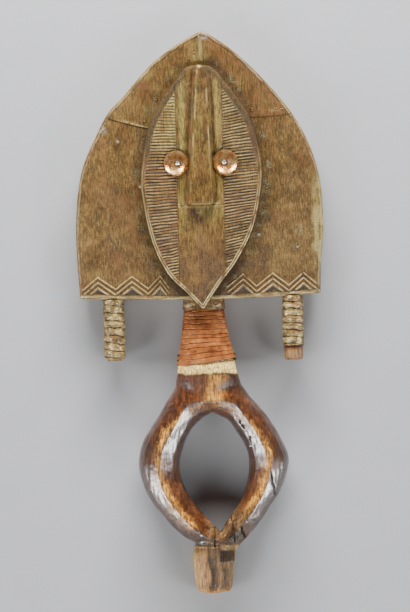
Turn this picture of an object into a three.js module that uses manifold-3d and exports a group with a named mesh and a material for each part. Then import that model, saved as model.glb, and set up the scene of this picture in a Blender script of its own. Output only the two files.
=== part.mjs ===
// Kota reliquary figure: a carved wooden figure, its board and face covered with thin metal sheets.
// Millimetres. X runs across the face, Y up to the crown and Z out of the face. It lies on its back.
import * as THREE from 'three';
import { mergeVertices } from 'three/addons/utils/BufferGeometryUtils.js';
import Module from 'manifold-3d';

const wasm = await Module();
wasm.setup();

// Sheets and fits
const SHEET_T = 0.9;
const GAP = 0.3;
const HEM_W = 9;
const REACH = 400;
const MARGIN = 8;
const LAP = 2;
const SLIVER = 0.05;
const MITRE_LIMIT = 0.35;
const GROOVE_SHARE = 0.42;

// Board, measured over its sheets, from the axis of the face and up from the lower edge
const CREST_L = 33.8;
const BOARD_LEFT_W = 125.6;
const BOARD_RIGHT_W = 120.9;
const BOARD_WOOD_T = 15;
const BOARD_EDGE_ROUND = 2.6;
const FOLD_DROP = 1;
const FOLD_SAG = 3.8;
const BACK_RIB_RISE = 5;
const BACK_RIB_L = 170;
const BACK_RIB_FOOT_W = 30;
const BACK_RIB_TOP_W = 9;

// Face, a leaf shape raised from the board and hollowed like a dish
const FACE_H = 243.3;
const CHIN_DROP = 14.6;
const FACE_LEFT_W = 59.3;
const FACE_RIGHT_W = 60.8;
const FACE_RISE = 11;
const DISH_DEPTH = 7;
const BAND_LEFT_W = 23.5;
const BAND_RIGHT_W = 22.3;
const NOSE_FOOT_Y = 90;
const NOSE_L = 136;
const NOSE_TOP_W = 9.5;
const NOSE_FOOT_W = 23.5;
const NOSE_TOP_RISE = 1.6;
const NOSE_FOOT_RISE = 7.5;
const NOSE_SIDE_RUN = 2;
const NOSE_FOOT_X = -0.4;
const NOSE_LEAN = 3.4;
const MOUTH_DROP = 1;

// Hatching of the cheeks
const HATCH_PITCH = 3;
const HATCH_DEPTH = 0.9;
const HATCH_TOP_SHARE = 0.93;
const HATCH_FOOT_SHARE = 0.11;
const HATCH_TILT_LEFT = [-0.21, -0.04, 0.02];
const HATCH_TILT_RIGHT = [0.3, 0.08, 0.22];

// Seams of the crest, and the zigzag band above the lower edge
const SEAM_LEFT = [[-1, 0.72], [-0.39, 0.637]];
const SEAM_RIGHT = [[1, 0.69], [0.4, 0.672]];
const CREST_SEAM_X = 2.2;
const ZIGZAG_FOOT = 8;
const ZIGZAG_H = 12.5;
const ZIGZAG_STEP = 5.2;
const ZIGZAG_ROWS = 3;
const ZIGZAG_LINE_W = 1.5;
const ZIGZAG_RISE = 0.7;
const ZIGZAG_LEFT_SHARES = [-0.955, -0.835, -0.696, -0.565, -0.436, -0.341, -0.27];
const ZIGZAG_RIGHT_SHARES = [0.2, 0.33, 0.438, 0.574, 0.705, 0.825, 0.945];

// Eyes
const EYE_Y = 131;
const EYE_LEFT_X = -23.8;
const EYE_RIGHT_X = 24.7;
const EYE_D = 25.8;
const EYE_RISE = 6.2;
const EYE_SINK = 0.6;
const DOME_FULLNESS = 1.3;
const EYE_TILT_RUN = 14;
const EYE_NAIL_HEAD_D = 5;
const EYE_NAIL_HEAD_RISE = 1.7;
const EYE_NAIL_D = 2.4;
const EYE_NAIL_L = 16;
const HEAD_CROWN_SHARE = 0.72;
const EYE_NAIL_SIDES = 6;
const TACK_SIDES = 5;

// Tacks in the sheets
const TACK_HEAD_D = 3.4;
const TACK_HEAD_RISE = 0.9;
const TACK_D = 1.5;
const TACK_L = 8;
const MOUTH_TACK_IN = 4;
// Beside the face: share of the way out to the edge, minus on the left, and share of the board's height
const SIDE_TACKS = {
  tack_left_seam_outer: [-0.723, 0.686],
  tack_left_seam_middle: [-0.254, 0.661],
  tack_left_seam_inner: [-0.141, 0.667],
  tack_left_valley: [-0.164, 0.748],
  tack_right_seam_outer: [0.858, 0.702],
  tack_right_seam_middle: [0.726, 0.704],
  tack_right_seam_inner: [0.15, 0.7],
  tack_right_side: [0.679, 0.176],
};
// Above the face: share of the way out to the edge there, and share of the way up to the crown
const CREST_TACKS = {
  tack_crest_left: [-0.237, 0.139],
  tack_crest_middle: [-0.118, 0.402],
};

// Neck, lozenge and foot
const NECK_L = 75;
const NECK_W = 37;
const NECK_BACK = 2.4;
const NECK_SET_BACK = 0.8;
const NECK_FLARE = 1.65;
const NECK_FLARE_CURVE = 1.8;
const NECK_FRONT_CURVE = 1.3;
const NECK_TOP_SQUARENESS = 2.6;
const NECK_FOOT_SQUARENESS = 1.8;
const NECK_SWAY = 1.35;
const NECK_STEP = 15;
const NECK_SIDES = 12;
const NECK_INTO_BOARD = 4;
const NECK_INTO_LOZENGE = 13;
const NECK_TONGUE_L = 20;
const TONGUE_NARROWING = 0.3;
const LOZENGE_TOP_LAP = 8;
const HOLE_DROP = 43;
const LOZENGE_L = 165;
const LOZENGE_LEFT_W = 69.5;
const LOZENGE_RIGHT_W = 81.8;
const LOZENGE_T = 35;
const HOLE_L = 120.5;
const HOLE_LEFT_W = 27.6;
const HOLE_RIGHT_W = 41.4;
const FOOT_L = 51.5;
const FOOT_LAP = 2;
const FOOT_W = 44;
const FOOT_T = 30;
const FOOT_X = 4;
const NOTCH_IN = 6;
const NOTCH_DOWN = 9;
const NOTCH_W = 14.5;
const NOTCH_L = 11.3;
const NOTCH_DEPTH = 14;

// Windings on the neck
const NECK_SHEET_L = 15;
const WINDING_PITCH = 4.5;
const WINDING_T = 1.3;
const WINDING_L = 50;
const WINDING_SLANT = 5.6;

// Pegs and their windings
const PEG_SIDES = 9;
const PEG_D = 14.4;
const PEG_LEFT_X = 90.2;
const PEG_LEFT_L = 64.2;
const PEG_RIGHT_X = 88.8;
const PEG_RIGHT_L = 67;
const PEG_STRIP_PITCH = 7;
const PEG_STRIP_T = 3.2;
const PEG_GROOVE_SHARE = 0.66;
const PEG_LEFT_BARE_END = 2;
const PEG_RIGHT_BARE_END = 14.5;
const PEG_END_D = 19.4;
const PEG_END_BEVEL = 1.6;

// Heights of the layers above the surface that the figure lies on
const SHEET_BACK_Z = BACK_RIB_RISE;
const WOOD_BACK_Z = SHEET_BACK_Z + SHEET_T + GAP;
const WOOD_FRONT_Z = WOOD_BACK_Z + BOARD_WOOD_T;
const SHEET_FRONT_Z = WOOD_FRONT_Z + GAP + SHEET_T;
const RIM_Z = SHEET_FRONT_Z + FACE_RISE;
const PEG_Z = (SHEET_BACK_Z + SHEET_FRONT_Z) / 2;
const WOOD_INSET = SHEET_T + GAP;
const FACE_TOP_Y = FACE_H - CHIN_DROP;
const BOARD_H = FACE_TOP_Y + CREST_L;
const MOUTH_Y = NOSE_FOOT_Y - MOUTH_DROP;
const PEGS = [
  { side: 'left', x: -PEG_LEFT_X, length: PEG_LEFT_L, bareEnd: PEG_LEFT_BARE_END },
  { side: 'right', x: PEG_RIGHT_X, length: PEG_RIGHT_L, bareEnd: PEG_RIGHT_BARE_END },
];
const NECK_FRONT_Z = WOOD_FRONT_Z - NECK_SET_BACK;

// Outlines as shares: across from the axis, and up the height
const BOARD_LEFT_SHARES = [[0.982, 0.01], [1, 0.25], [0.951, 0.465], [0.809, 0.625], [0.717, 0.702],
  [0.607, 0.756], [0.382, 0.875], [0.187, 0.945], [0.002, 0.995]];
const BOARD_RIGHT_SHARES = [[0.966, 0.01], [0.974, 0.12], [1, 0.235], [0.988, 0.403], [0.917, 0.541],
  [0.772, 0.676], [0.53, 0.816], [0.293, 0.923], [0.11, 0.984], [0.04, 1]];
const FACE_LEFT_SHARES = [[0.02, 0], [0.28, 0.068], [0.6, 0.152], [0.85, 0.289], [1, 0.49], [0.955, 0.63],
  [0.85, 0.752], [0.6, 0.868], [0.36, 0.945], [0.2, 0.99], [0, 1]];
const FACE_RIGHT_SHARES = [[0, 0], [0.27, 0.1], [0.57, 0.2], [0.85, 0.34], [1, 0.54], [0.94, 0.68],
  [0.82, 0.785], [0.6, 0.87], [0.38, 0.945], [0.21, 0.99], [0, 1]];
const LOZENGE_LEFT_SHARES = [[-0.05, 0.06], [0.47, 0.03], [0.61, 0.17], [0.78, 0.28], [0.93, 0.38],
  [1, 0.51], [0.94, 0.64], [0.83, 0.74], [0.67, 0.83], [0.46, 0.93], [0.2, 1], [-0.12, 1.02]];
const LOZENGE_RIGHT_SHARES = [[0.05, 0.06], [0.45, 0.02], [0.66, 0.17], [0.83, 0.3], [0.94, 0.41],
  [1, 0.52], [0.89, 0.69], [0.75, 0.79], [0.63, 0.88], [0.45, 0.98], [0.28, 1.04], [0.1, 1.02]];
const HOLE_LEFT_SHARES = [[-0.23, 0], [0.34, 0.08], [0.76, 0.22], [1, 0.38], [0.97, 0.52], [0.75, 0.66],
  [0.31, 0.81], [-0.42, 1]];
const HOLE_RIGHT_SHARES = [[0.15, 0], [0.52, 0.07], [0.72, 0.17], [0.91, 0.28], [1, 0.44], [0.89, 0.65],
  [0.71, 0.77], [0.46, 0.89], [0.28, 1]];

// One section of a lozenge arm, from the hole to the outer edge and back: shares across and of the thickness
const ARM_SECTION = [[0, 0.3], [0.05, 0.58], [0.32, 0.94], [0.52, 1], [0.82, 0.76], [0.97, 0.5],
  [1, 0.28], [0.86, 0], [0.2, 0], [0.03, 0.1]];

// Foot: share of its length down, then how far each side and the front reach there; and its section
const FOOT_ROWS = [[0, 0.82, 1.02, 1], [0.1, 0.84, 1.02, 1], [0.27, 0.98, 0.94, 1],
  [0.5, 0.9, 0.82, 0.96], [0.92, 0.78, 0.74, 0.88], [1, 0.42, 0.56, 0.66]];
const FOOT_SECTION = [[-1, 0.45], [-0.85, 0.14], [-0.5, 0], [0.7, 0], [1, 0.2], [1, 0.6], [0.3, 0.9],
  [-0.2, 1], [-0.65, 0.92], [-0.94, 0.7]];

// Colours
const OLIVE_BRASS = { color: 0x7d6a3c, roughness: 0.55, metalness: 0.7 };
const RED_BRASS = { color: 0x85603a, roughness: 0.55, metalness: 0.7 };
const COPPER = { color: 0xb5613a, roughness: 0.3, metalness: 0.9 };
const STRIP_COPPER = { color: 0xa8562c, roughness: 0.45, metalness: 0.6 };
const STRIP_BRASS = { color: 0x9a8a5a, roughness: 0.5, metalness: 0.6 };
const STEEL = { color: 0xb9b9b4, roughness: 0.35, metalness: 0.9 };
const WOOD = { color: 0x6e452a, roughness: 0.45, metalness: 0 };

const lerp = THREE.MathUtils.lerp;
const clamp = THREE.MathUtils.clamp;

// Turns a closed geometry into a solid that can be joined and cut
function solid(geometry) {
  const bare = geometry.clone();
  bare.deleteAttribute('normal');
  bare.deleteAttribute('uv');
  const merged = mergeVertices(bare, 1e-4);
  return new wasm.Manifold(new wasm.Mesh({
    numProp: 3,
    vertProperties: new Float32Array(merged.attributes.position.array),
    triVerts: new Uint32Array(merged.index.array),
  }));
}

function geometryOf(manifold) {
  const mesh = manifold.getMesh();
  const geometry = new THREE.BufferGeometry();
  geometry.setAttribute('position', new THREE.BufferAttribute(mesh.vertProperties, 3));
  geometry.setIndex(new THREE.BufferAttribute(mesh.triVerts, 1));
  return geometry;
}

function fromTriangles(points, triangles) {
  const geometry = new THREE.BufferGeometry();
  geometry.setAttribute('position', new THREE.Float32BufferAttribute(points.flat(), 3));
  geometry.setIndex(triangles.flat());
  return solid(geometry);
}

// An upright block over an outline, its edges eased by edgeRound
function prism(outline, low, high, edgeRound = 0, roundSteps = 1) {
  const shape = new THREE.Shape(outline.map(([x, y]) => new THREE.Vector2(x, y)));
  const geometry = new THREE.ExtrudeGeometry(shape, {
    depth: high - low - 2 * edgeRound,
    bevelEnabled: edgeRound > 0,
    bevelSize: edgeRound,
    bevelThickness: edgeRound,
    bevelOffset: -edgeRound,
    bevelSegments: roundSteps,
  });
  geometry.translate(0, 0, low + edgeRound);
  return solid(geometry);
}

// An upright block that reaches past the whole figure, to cut with
const through = (outline) => prism(outline, -REACH / 4, REACH / 4);

// A block whose top (or underside, when the cap is above it) follows a grid of points
function terrain(rows, columns, pointAt, capZ) {
  const points = [];
  for (let i = 0; i < rows; i += 1) {
    for (let j = 0; j < columns; j += 1) points.push(pointAt(i, j));
  }
  const count = points.length;
  const capUp = capZ > points[0][2];
  for (const [x, y] of points.slice(0, count)) points.push([x, y, capZ]);
  const triangles = [];
  const face = (a, b, c) => triangles.push(capUp ? [a, c, b] : [a, b, c]);
  for (let i = 0; i + 1 < rows; i += 1) {
    for (let j = 0; j + 1 < columns; j += 1) {
      const a = i * columns + j;
      const c = a + columns;
      face(a, a + 1, c + 1);
      face(a, c + 1, c);
      face(a + count, c + count + 1, a + count + 1);
      face(a + count, c + count, c + count + 1);
    }
  }
  const wall = (a, b) => {
    face(a, a + count, b + count);
    face(a, b + count, b);
  };
  for (let j = 0; j + 1 < columns; j += 1) {
    wall(j, j + 1);
    wall((rows - 1) * columns + j + 1, (rows - 1) * columns + j);
  }
  for (let i = 0; i + 1 < rows; i += 1) {
    wall((i + 1) * columns, i * columns);
    wall((i + 1) * columns - 1, (i + 2) * columns - 1);
  }
  return fromTriangles(points, triangles);
}

// A solid through a row of sections with equal point counts, capped at both ends or joined into a ring
function loft(sections, ring = false) {
  const sides = sections[0].length;
  const points = sections.flat();
  const triangles = [];
  const last = ring ? sections.length : sections.length - 1;
  for (let i = 0; i < last; i += 1) {
    const here = i * sides;
    const next = ((i + 1) % sections.length) * sides;
    for (let j = 0; j < sides; j += 1) {
      const k = (j + 1) % sides;
      triangles.push([here + j, here + k, next + k], [here + j, next + k, next + j]);
    }
  }
  if (!ring) {
    for (let j = 1; j + 1 < sides; j += 1) {
      const end = (sections.length - 1) * sides;
      triangles.push([0, j + 1, j], [end, end + j, end + j + 1]);
    }
  }
  return fromTriangles(points, triangles);
}

// A smooth line through share points, scaled to real sizes
function curveThrough(shares, width, height, footY, steps) {
  const points = shares.map(([across, up]) => new THREE.Vector2(across * width, footY + up * height));
  return new THREE.SplineCurve(points).getPoints(steps).map((p) => [p.x, p.y]);
}

// Moves a counter-clockwise outline inwards by a distance, dropping points whose edge has turned over
function inset(outline, distance) {
  const neighbours = (points, i) => {
    const count = points.length;
    return [points[(i + count - 1) % count], points[(i + 1) % count]];
  };
  const moved = outline.map(([x, y], i) => {
    const [[ax, ay], [bx, by]] = neighbours(outline, i);
    const before = new THREE.Vector2(x - ax, y - ay).normalize();
    const after = new THREE.Vector2(bx - x, by - y).normalize();
    const inward = new THREE.Vector2(-before.y - after.y, before.x + after.x).normalize();
    const reach = distance / Math.max(MITRE_LIMIT, inward.x * -before.y + inward.y * before.x);
    return [x + inward.x * reach, y + inward.y * reach];
  });
  return moved.filter(([x, y], i) => {
    const [was] = neighbours(outline, i);
    const [now] = neighbours(moved, i);
    return (x - now[0]) * (outline[i][0] - was[0]) + (y - now[1]) * (outline[i][1] - was[1]) > 0;
  });
}

function acrossAt(line, y) {
  for (let i = 0; i + 1 < line.length; i += 1) {
    const [[ax, ay], [bx, by]] = [line[i], line[i + 1]];
    if ((y - ay) * (y - by) <= 0 && ay !== by) return lerp(ax, bx, (y - ay) / (by - ay));
  }
  return 0;
}

const boardLeft = curveThrough(BOARD_LEFT_SHARES, -BOARD_LEFT_W, BOARD_H, 0, 14);
const boardRight = curveThrough(BOARD_RIGHT_SHARES, BOARD_RIGHT_W, BOARD_H, 0, 16);

// The folded lower edge sags a little below the line that the zigzag stands on
function lowerEdgeAt(x) {
  const across = x / (x < 0 ? BOARD_LEFT_W : BOARD_RIGHT_W);
  return -FOLD_DROP - FOLD_SAG * (1 - across * across);
}

function lowerEdge(steps) {
  const line = [];
  for (let k = 1; k < steps; k += 1) {
    const x = lerp(boardLeft[0][0], boardRight[0][0], k / steps);
    line.push([x, lowerEdgeAt(x)]);
  }
  return [[boardLeft[0][0], -FOLD_DROP], ...line, [boardRight[0][0], -FOLD_DROP]];
}

const boardOutline = [...lowerEdge(6), ...boardRight.slice(1), ...boardLeft.slice(1).reverse()];
const faceLeft = curveThrough(FACE_LEFT_SHARES, -FACE_LEFT_W, FACE_H, -CHIN_DROP, 17);
const faceRight = curveThrough(FACE_RIGHT_SHARES, FACE_RIGHT_W, FACE_H, -CHIN_DROP, 17);
const faceOutline = [...faceRight.slice(0, -1), ...faceLeft.slice(1).reverse()];

// Nose: its centre line leans slightly, and its sides fall away over a short run
function noseAt(y, sink) {
  const up = clamp((y - NOSE_FOOT_Y) / NOSE_L, 0, 1);
  const middle = NOSE_FOOT_X + NOSE_LEAN * up;
  const half = lerp(NOSE_FOOT_W, NOSE_TOP_W, up) / 2 - sink;
  const offNose = y < NOSE_FOOT_Y + sink || y > NOSE_FOOT_Y + NOSE_L;
  const rise = offNose ? 0 : lerp(NOSE_FOOT_RISE, NOSE_TOP_RISE, up);
  return { middle, half, rise };
}

// Front of the face at a point: a flat middle band, cheeks that rise to the rim, and the nose.
// sink moves it inwards to the underside of the sheet or to the wood
function faceZ(x, y, sink = 0) {
  const within = clamp(y, -CHIN_DROP + SLIVER, FACE_TOP_Y - SLIVER);
  const [line, band, width] = x < 0
    ? [faceLeft, BAND_LEFT_W, FACE_LEFT_W]
    : [faceRight, BAND_RIGHT_W, FACE_RIGHT_W];
  const edge = Math.abs(acrossAt(line, within));
  const fromRim = edge - Math.max(Math.abs(x), band);
  const dish = (DISH_DEPTH / (width - band)) * (Math.abs(x) > band ? fromRim : Math.max(0, fromRim));
  const nose = noseAt(y, sink);
  const beyond = (Math.abs(x - nose.middle) - nose.half) / NOSE_SIDE_RUN;
  return RIM_Z - dish + nose.rise * clamp(1 - beyond, 0, 1) - sink;
}

// Grid rows of the plain face, closer together at the foot of the nose
function faceRows(sink) {
  const rows = [-CHIN_DROP - MARGIN];
  const [below, above] = [4, 5];
  for (let k = 0; k < below; k += 1) rows.push(lerp(-CHIN_DROP, MOUTH_Y + sink, k / below));
  rows.push(MOUTH_Y + sink, NOSE_FOOT_Y + sink + SLIVER);
  for (let k = 1; k <= above; k += 1) rows.push(NOSE_FOOT_Y + ((NOSE_L - SLIVER) * k) / above);
  rows.push(FACE_TOP_Y + MARGIN);
  return rows;
}

function plainFace(sink, capZ) {
  const rows = faceRows(sink);
  const columns = 9;
  return terrain(rows.length, columns, (i, j) => {
    const y = rows[i];
    const { middle, half } = noseAt(y, sink);
    const xs = [-FACE_LEFT_W - MARGIN, -BAND_LEFT_W, middle - half - NOSE_SIDE_RUN, middle - half, middle,
      middle + half, middle + half + NOSE_SIDE_RUN, BAND_RIGHT_W, FACE_RIGHT_W + MARGIN];
    return [xs[j], y, faceZ(xs[j], y, sink)];
  }, capZ);
}

// Ridged front of one cheek: grooves run from the rim to the middle band and fan out
function hatchedFace(side, tilts) {
  const width = side < 0 ? FACE_LEFT_W : FACE_RIGHT_W;
  const band = side < 0 ? BAND_LEFT_W : BAND_RIGHT_W;
  const foot = -CHIN_DROP + FACE_H * HATCH_FOOT_SHARE;
  const top = -CHIN_DROP + FACE_H * HATCH_TOP_SHARE;
  const lines = Math.round((top - foot) / HATCH_PITCH);
  const tilt = new THREE.SplineCurve(tilts.map((t, k) => new THREE.Vector2(k, t)));
  const acrosses = [band, width + MARGIN];
  if (side < 0) acrosses.reverse();
  const rows = 2 * lines + 3;
  return terrain(rows, acrosses.length, (i, j) => {
    const outer = i === 0 || i === rows - 1;
    const level = lerp(foot, top, (i - 1) / (rows - 3));
    const slope = tilt.getPoint(clamp((i - 1) / (rows - 3), 0, 1)).y;
    const along = acrosses[j] - band;
    const end = i === 0 ? -CHIN_DROP - REACH / 8 : FACE_TOP_Y + REACH / 8;
    const y = (outer ? end : level) + slope * along;
    const groove = i % 2 === 1 && !outer ? HATCH_DEPTH / 2 : 0;
    return [side * acrosses[j], y, faceZ(side * acrosses[j], y) - groove];
  }, 0);
}

const boardPoint = ([across, up]) => [across * (across < 0 ? BOARD_LEFT_W : BOARD_RIGHT_W), up * BOARD_H];
const faceOpening = prism(inset(faceOutline, -GAP), WOOD_BACK_Z + LAP, REACH);

// Easing of an edge that lies a depth behind the board's rounded outer edge
const easeBehind = (depth) => 2 * BOARD_EDGE_ROUND * (1 - Math.SQRT1_2) - (2 - Math.SQRT2) * depth;

// Neck sections, rounder at the top and ridged where they meet the lozenge
function neckRow(y) {
  const down = Math.max(0, -y / NECK_L);
  const half = (NECK_W / 2) * (1 + (NECK_FLARE - 1) * down ** NECK_FLARE_CURVE);
  const pastChin = clamp((-y - CHIN_DROP) / (NECK_L - CHIN_DROP), 0, 1);
  const front = lerp(NECK_FRONT_Z, LOZENGE_T, pastChin ** NECK_FRONT_CURVE);
  const power = lerp(NECK_TOP_SQUARENESS, NECK_FOOT_SQUARENESS, Math.min(down, 1));
  return { middle: NECK_SWAY * down ** 3, half, back: NECK_BACK, front, power };
}

function neckSection(y, out, slant = 0) {
  const { middle, half, back, front, power } = neckRow(y);
  const section = [];
  for (let k = 0; k < NECK_SIDES; k += 1) {
    const angle = (k / NECK_SIDES) * Math.PI * 2;
    const [c, s] = [Math.cos(angle), Math.sin(angle)];
    const x = Math.sign(c) * Math.abs(c) ** (2 / power) * (half + out);
    const z = Math.sign(s) * Math.abs(s) ** (2 / power) * ((front - back) / 2 + out);
    section.push([middle + x, y + (slant * x) / NECK_W, (front + back) / 2 + z]);
  }
  return section;
}

// Neck as a column of sections at fixed steps, thickened all round by out
function neckRows(top, foot, out) {
  const rows = [top];
  for (let y = Math.ceil(top / NECK_STEP) * NECK_STEP - NECK_STEP; y > foot; y -= NECK_STEP) rows.push(y);
  return [...rows, foot].map((y) => neckSection(y, out));
}

const neckColumn = (top, foot, out) => loft(neckRows(top, foot, out));

// Lozenge: one ring of sections between the hole and the outer edge, down the left arm and up the right
function lozengeRing() {
  const top = -NECK_L - LOZENGE_TOP_LAP;
  const holeTop = -NECK_L - HOLE_DROP;
  const steps = 12;
  const side = (shares, width, height, startY) => curveThrough(
    shares.map(([across, down]) => [across, -down]), width, height, startY, steps);
  const outer = [...side(LOZENGE_LEFT_SHARES, -LOZENGE_LEFT_W, LOZENGE_L, top),
    ...side(LOZENGE_RIGHT_SHARES, LOZENGE_RIGHT_W, LOZENGE_L, top).reverse()];
  const inner = [...side(HOLE_LEFT_SHARES, -HOLE_LEFT_W, HOLE_L, holeTop),
    ...side(HOLE_RIGHT_SHARES, HOLE_RIGHT_W, HOLE_L, holeTop).reverse()];
  const sections = outer.map(([ox, oy], i) => ARM_SECTION.map(([across, rise]) => [
    lerp(inner[i][0], ox, across), lerp(inner[i][1], oy, across), rise * LOZENGE_T]));
  return loft(sections, true);
}

// Foot: a short worn block, rounded on the left and flat on the right, with a square notch
function foot() {
  const topY = -NECK_L - LOZENGE_L - LOZENGE_TOP_LAP + FOOT_LAP;
  const sections = FOOT_ROWS.map(([down, left, right, thick]) => FOOT_SECTION.map(([across, rise]) => {
    const half = (FOOT_W / 2) * (across < 0 ? left : right);
    return [FOOT_X + across * half, topY - down * FOOT_L, rise * thick * FOOT_T];
  }));
  const [notchX, notchY] = [FOOT_X + NOTCH_IN, topY - NOTCH_DOWN];
  const notch = prism([[notchX, notchY - NOTCH_L], [notchX + NOTCH_W, notchY - NOTCH_L],
    [notchX + NOTCH_W, notchY], [notchX, notchY]], FOOT_T - NOTCH_DEPTH, REACH);
  return loft(sections).subtract(notch);
}

function peg(x, radius, top, footY) {
  const geometry = new THREE.CylinderGeometry(radius, radius, top - footY, PEG_SIDES);
  geometry.translate(x, (top + footY) / 2, 0);
  return solid(geometry).translate([0, 0, PEG_Z]);
}

// End of the right peg: below its winding the wood is as wide as the strip, and bevelled
function pegEnd({ x, length, bareEnd }) {
  const radius = PEG_END_D / 2;
  const top = bareEnd - length - GAP;
  const bevel = [[radius - PEG_END_BEVEL, -length], [radius, PEG_END_BEVEL - length]];
  const profile = [[0, -length], ...bevel, [radius, top], [0, top]];
  const geometry = new THREE.LatheGeometry(profile.map(([r, y]) => new THREE.Vector2(r, y)), PEG_SIDES);
  geometry.translate(x, 0, PEG_Z);
  return solid(geometry);
}

// A nail: round head on a plain shank, its head resting at z = 0
function nail(headD, headRise, shankD, length, sides) {
  const crown = [(HEAD_CROWN_SHARE * headD) / 2, HEAD_CROWN_SHARE * headRise];
  const shank = [[0, -length], [shankD / 2, -length], [shankD / 2, 0]];
  const profile = [...shank, [headD / 2, 0], crown, [0, headRise]];
  const geometry = new THREE.LatheGeometry(profile.map(([r, z]) => new THREE.Vector2(r, z)), sides);
  geometry.rotateX(Math.PI / 2);
  return geometry;
}

function drill(diameter, from, to, sides) {
  const geometry = new THREE.CylinderGeometry(diameter / 2, diameter / 2, to - from, sides);
  geometry.rotateX(Math.PI / 2);
  geometry.translate(0, 0, (from + to) / 2);
  return geometry;
}

// Frame that stands on the face at a point, with its z axis along the surface
function frameOn(x, y, lift) {
  const run = EYE_TILT_RUN;
  const slopeX = (faceZ(x + Math.sign(x) * run, y) - faceZ(x, y)) / run;
  const slopeY = (faceZ(x, y + run) - faceZ(x, y - run)) / (2 * run);
  const normal = new THREE.Vector3(-slopeX * Math.sign(x), -slopeY, 1).normalize();
  const turn = new THREE.Quaternion().setFromUnitVectors(new THREE.Vector3(0, 0, 1), normal);
  const place = new THREE.Vector3(x, y, faceZ(x, y) + lift);
  return new THREE.Matrix4().compose(place, turn, new THREE.Vector3(1, 1, 1));
}

// Eye boss: a thin dome, open below, with a hole for its nail
function eyeDome() {
  const arc = (radius, rise, steps) => {
    const points = [];
    for (let k = 0; k <= steps; k += 1) {
      const angle = (k / steps) * (Math.PI / 2);
      points.push([Math.cos(angle) * radius, Math.sin(angle) ** DOME_FULLNESS * rise]);
    }
    return points;
  };
  const hole = EYE_NAIL_D / 2 + GAP;
  const outer = arc(EYE_D / 2, EYE_RISE, 4).filter(([r]) => r > hole);
  const inner = arc(EYE_D / 2 - SHEET_T, EYE_RISE - SHEET_T, 2).filter(([r]) => r > hole).reverse();
  const profile = [...outer, [hole, EYE_RISE], [hole, EYE_RISE - SHEET_T], ...inner, outer[0]];
  const geometry = new THREE.LatheGeometry(profile.map(([r, z]) => new THREE.Vector2(r, z)), 12);
  geometry.rotateX(Math.PI / 2);
  return geometry;
}

const eyes = {
  left: frameOn(EYE_LEFT_X, EYE_Y, -EYE_SINK),
  right: frameOn(EYE_RIGHT_X, EYE_Y, -EYE_SINK),
};

// Where a tack sits on the board: its share of the way out at its height, from the face or from the axis
function onBoard([name, [out, up]], foot, top) {
  const y = lerp(foot, top, up);
  const [board, face] = out < 0 ? [boardLeft, faceLeft] : [boardRight, faceRight];
  const x = lerp(acrossAt(face, y), acrossAt(board, y), Math.abs(out));
  return { name, x, y, z: SHEET_FRONT_Z + GAP };
}

const mouthTack = { x: MOUTH_TACK_IN - BAND_LEFT_W, y: MOUTH_Y - TACK_D / 2 - 2 * GAP };
const tackPlaces = [
  ...Object.entries(SIDE_TACKS).map((entry) => onBoard(entry, 0, BOARD_H)),
  ...Object.entries(CREST_TACKS).map((entry) => onBoard(entry, FACE_TOP_Y, BOARD_H)),
  { name: 'tack_mouth_seam', ...mouthTack, z: faceZ(mouthTack.x, mouthTack.y) + GAP },
];

// Clearance holes for every nail, cut through the sheets and into the wood
const eyeDrill = drill(EYE_NAIL_D + 2 * GAP, EYE_RISE - EYE_NAIL_L - GAP, EYE_RISE + MARGIN, EYE_NAIL_SIDES);
const tackDrill = drill(TACK_D + 2 * GAP, -TACK_L - GAP, MARGIN, TACK_SIDES);
const nailHoles = [
  ...Object.values(eyes).map((frame) => solid(eyeDrill.clone().applyMatrix4(frame))),
  ...tackPlaces.map(({ x, y, z }) => solid(tackDrill).translate([x, y, z])),
];
const pierced = (body) => nailHoles.reduce((whole, hole) => whole.subtract(hole), body);

const pieces = [];
function add(name, manifold, finish) {
  const mesh = new THREE.Mesh(geometryOf(manifold), new THREE.MeshStandardMaterial(finish));
  mesh.name = name;
  pieces.push(mesh);
}

// Wood
function woodCore() {
  const board = prism(inset(boardOutline, WOOD_INSET), WOOD_BACK_Z, WOOD_FRONT_Z, easeBehind(WOOD_INSET));
  const rib = prism([[-BACK_RIB_FOOT_W / 2, 0], [BACK_RIB_FOOT_W / 2, 0], [BACK_RIB_TOP_W / 2, BACK_RIB_L],
    [-BACK_RIB_TOP_W / 2, BACK_RIB_L]], 0, WOOD_BACK_Z + LAP);
  const faceBlock = prism(inset(faceOutline, WOOD_INSET), WOOD_BACK_Z + LAP, REACH);
  const relief = faceBlock.intersect(plainFace(WOOD_INSET, 0));
  const neckFoot = -NECK_L - NECK_INTO_LOZENGE;
  const tongue = neckSection(neckFoot - NECK_TONGUE_L, 0).map(([x, y, z]) => [x * TONGUE_NARROWING, y, z]);
  const neck = loft([neckSection(BOARD_EDGE_ROUND, -NECK_INTO_BOARD), ...neckRows(0, neckFoot, 0), tongue]);
  const pegs = PEGS.map(({ x, length }) => peg(x, PEG_D / 2, WOOD_INSET + LAP, -length));
  const ends = PEGS.filter(({ bareEnd }) => bareEnd > PEG_END_BEVEL * 2).map(pegEnd);
  const parts = [rib, relief, neck, lozengeRing(), foot(), ...pegs, ...ends];
  return parts.reduce((whole, more) => whole.add(more), board);
}

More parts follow.
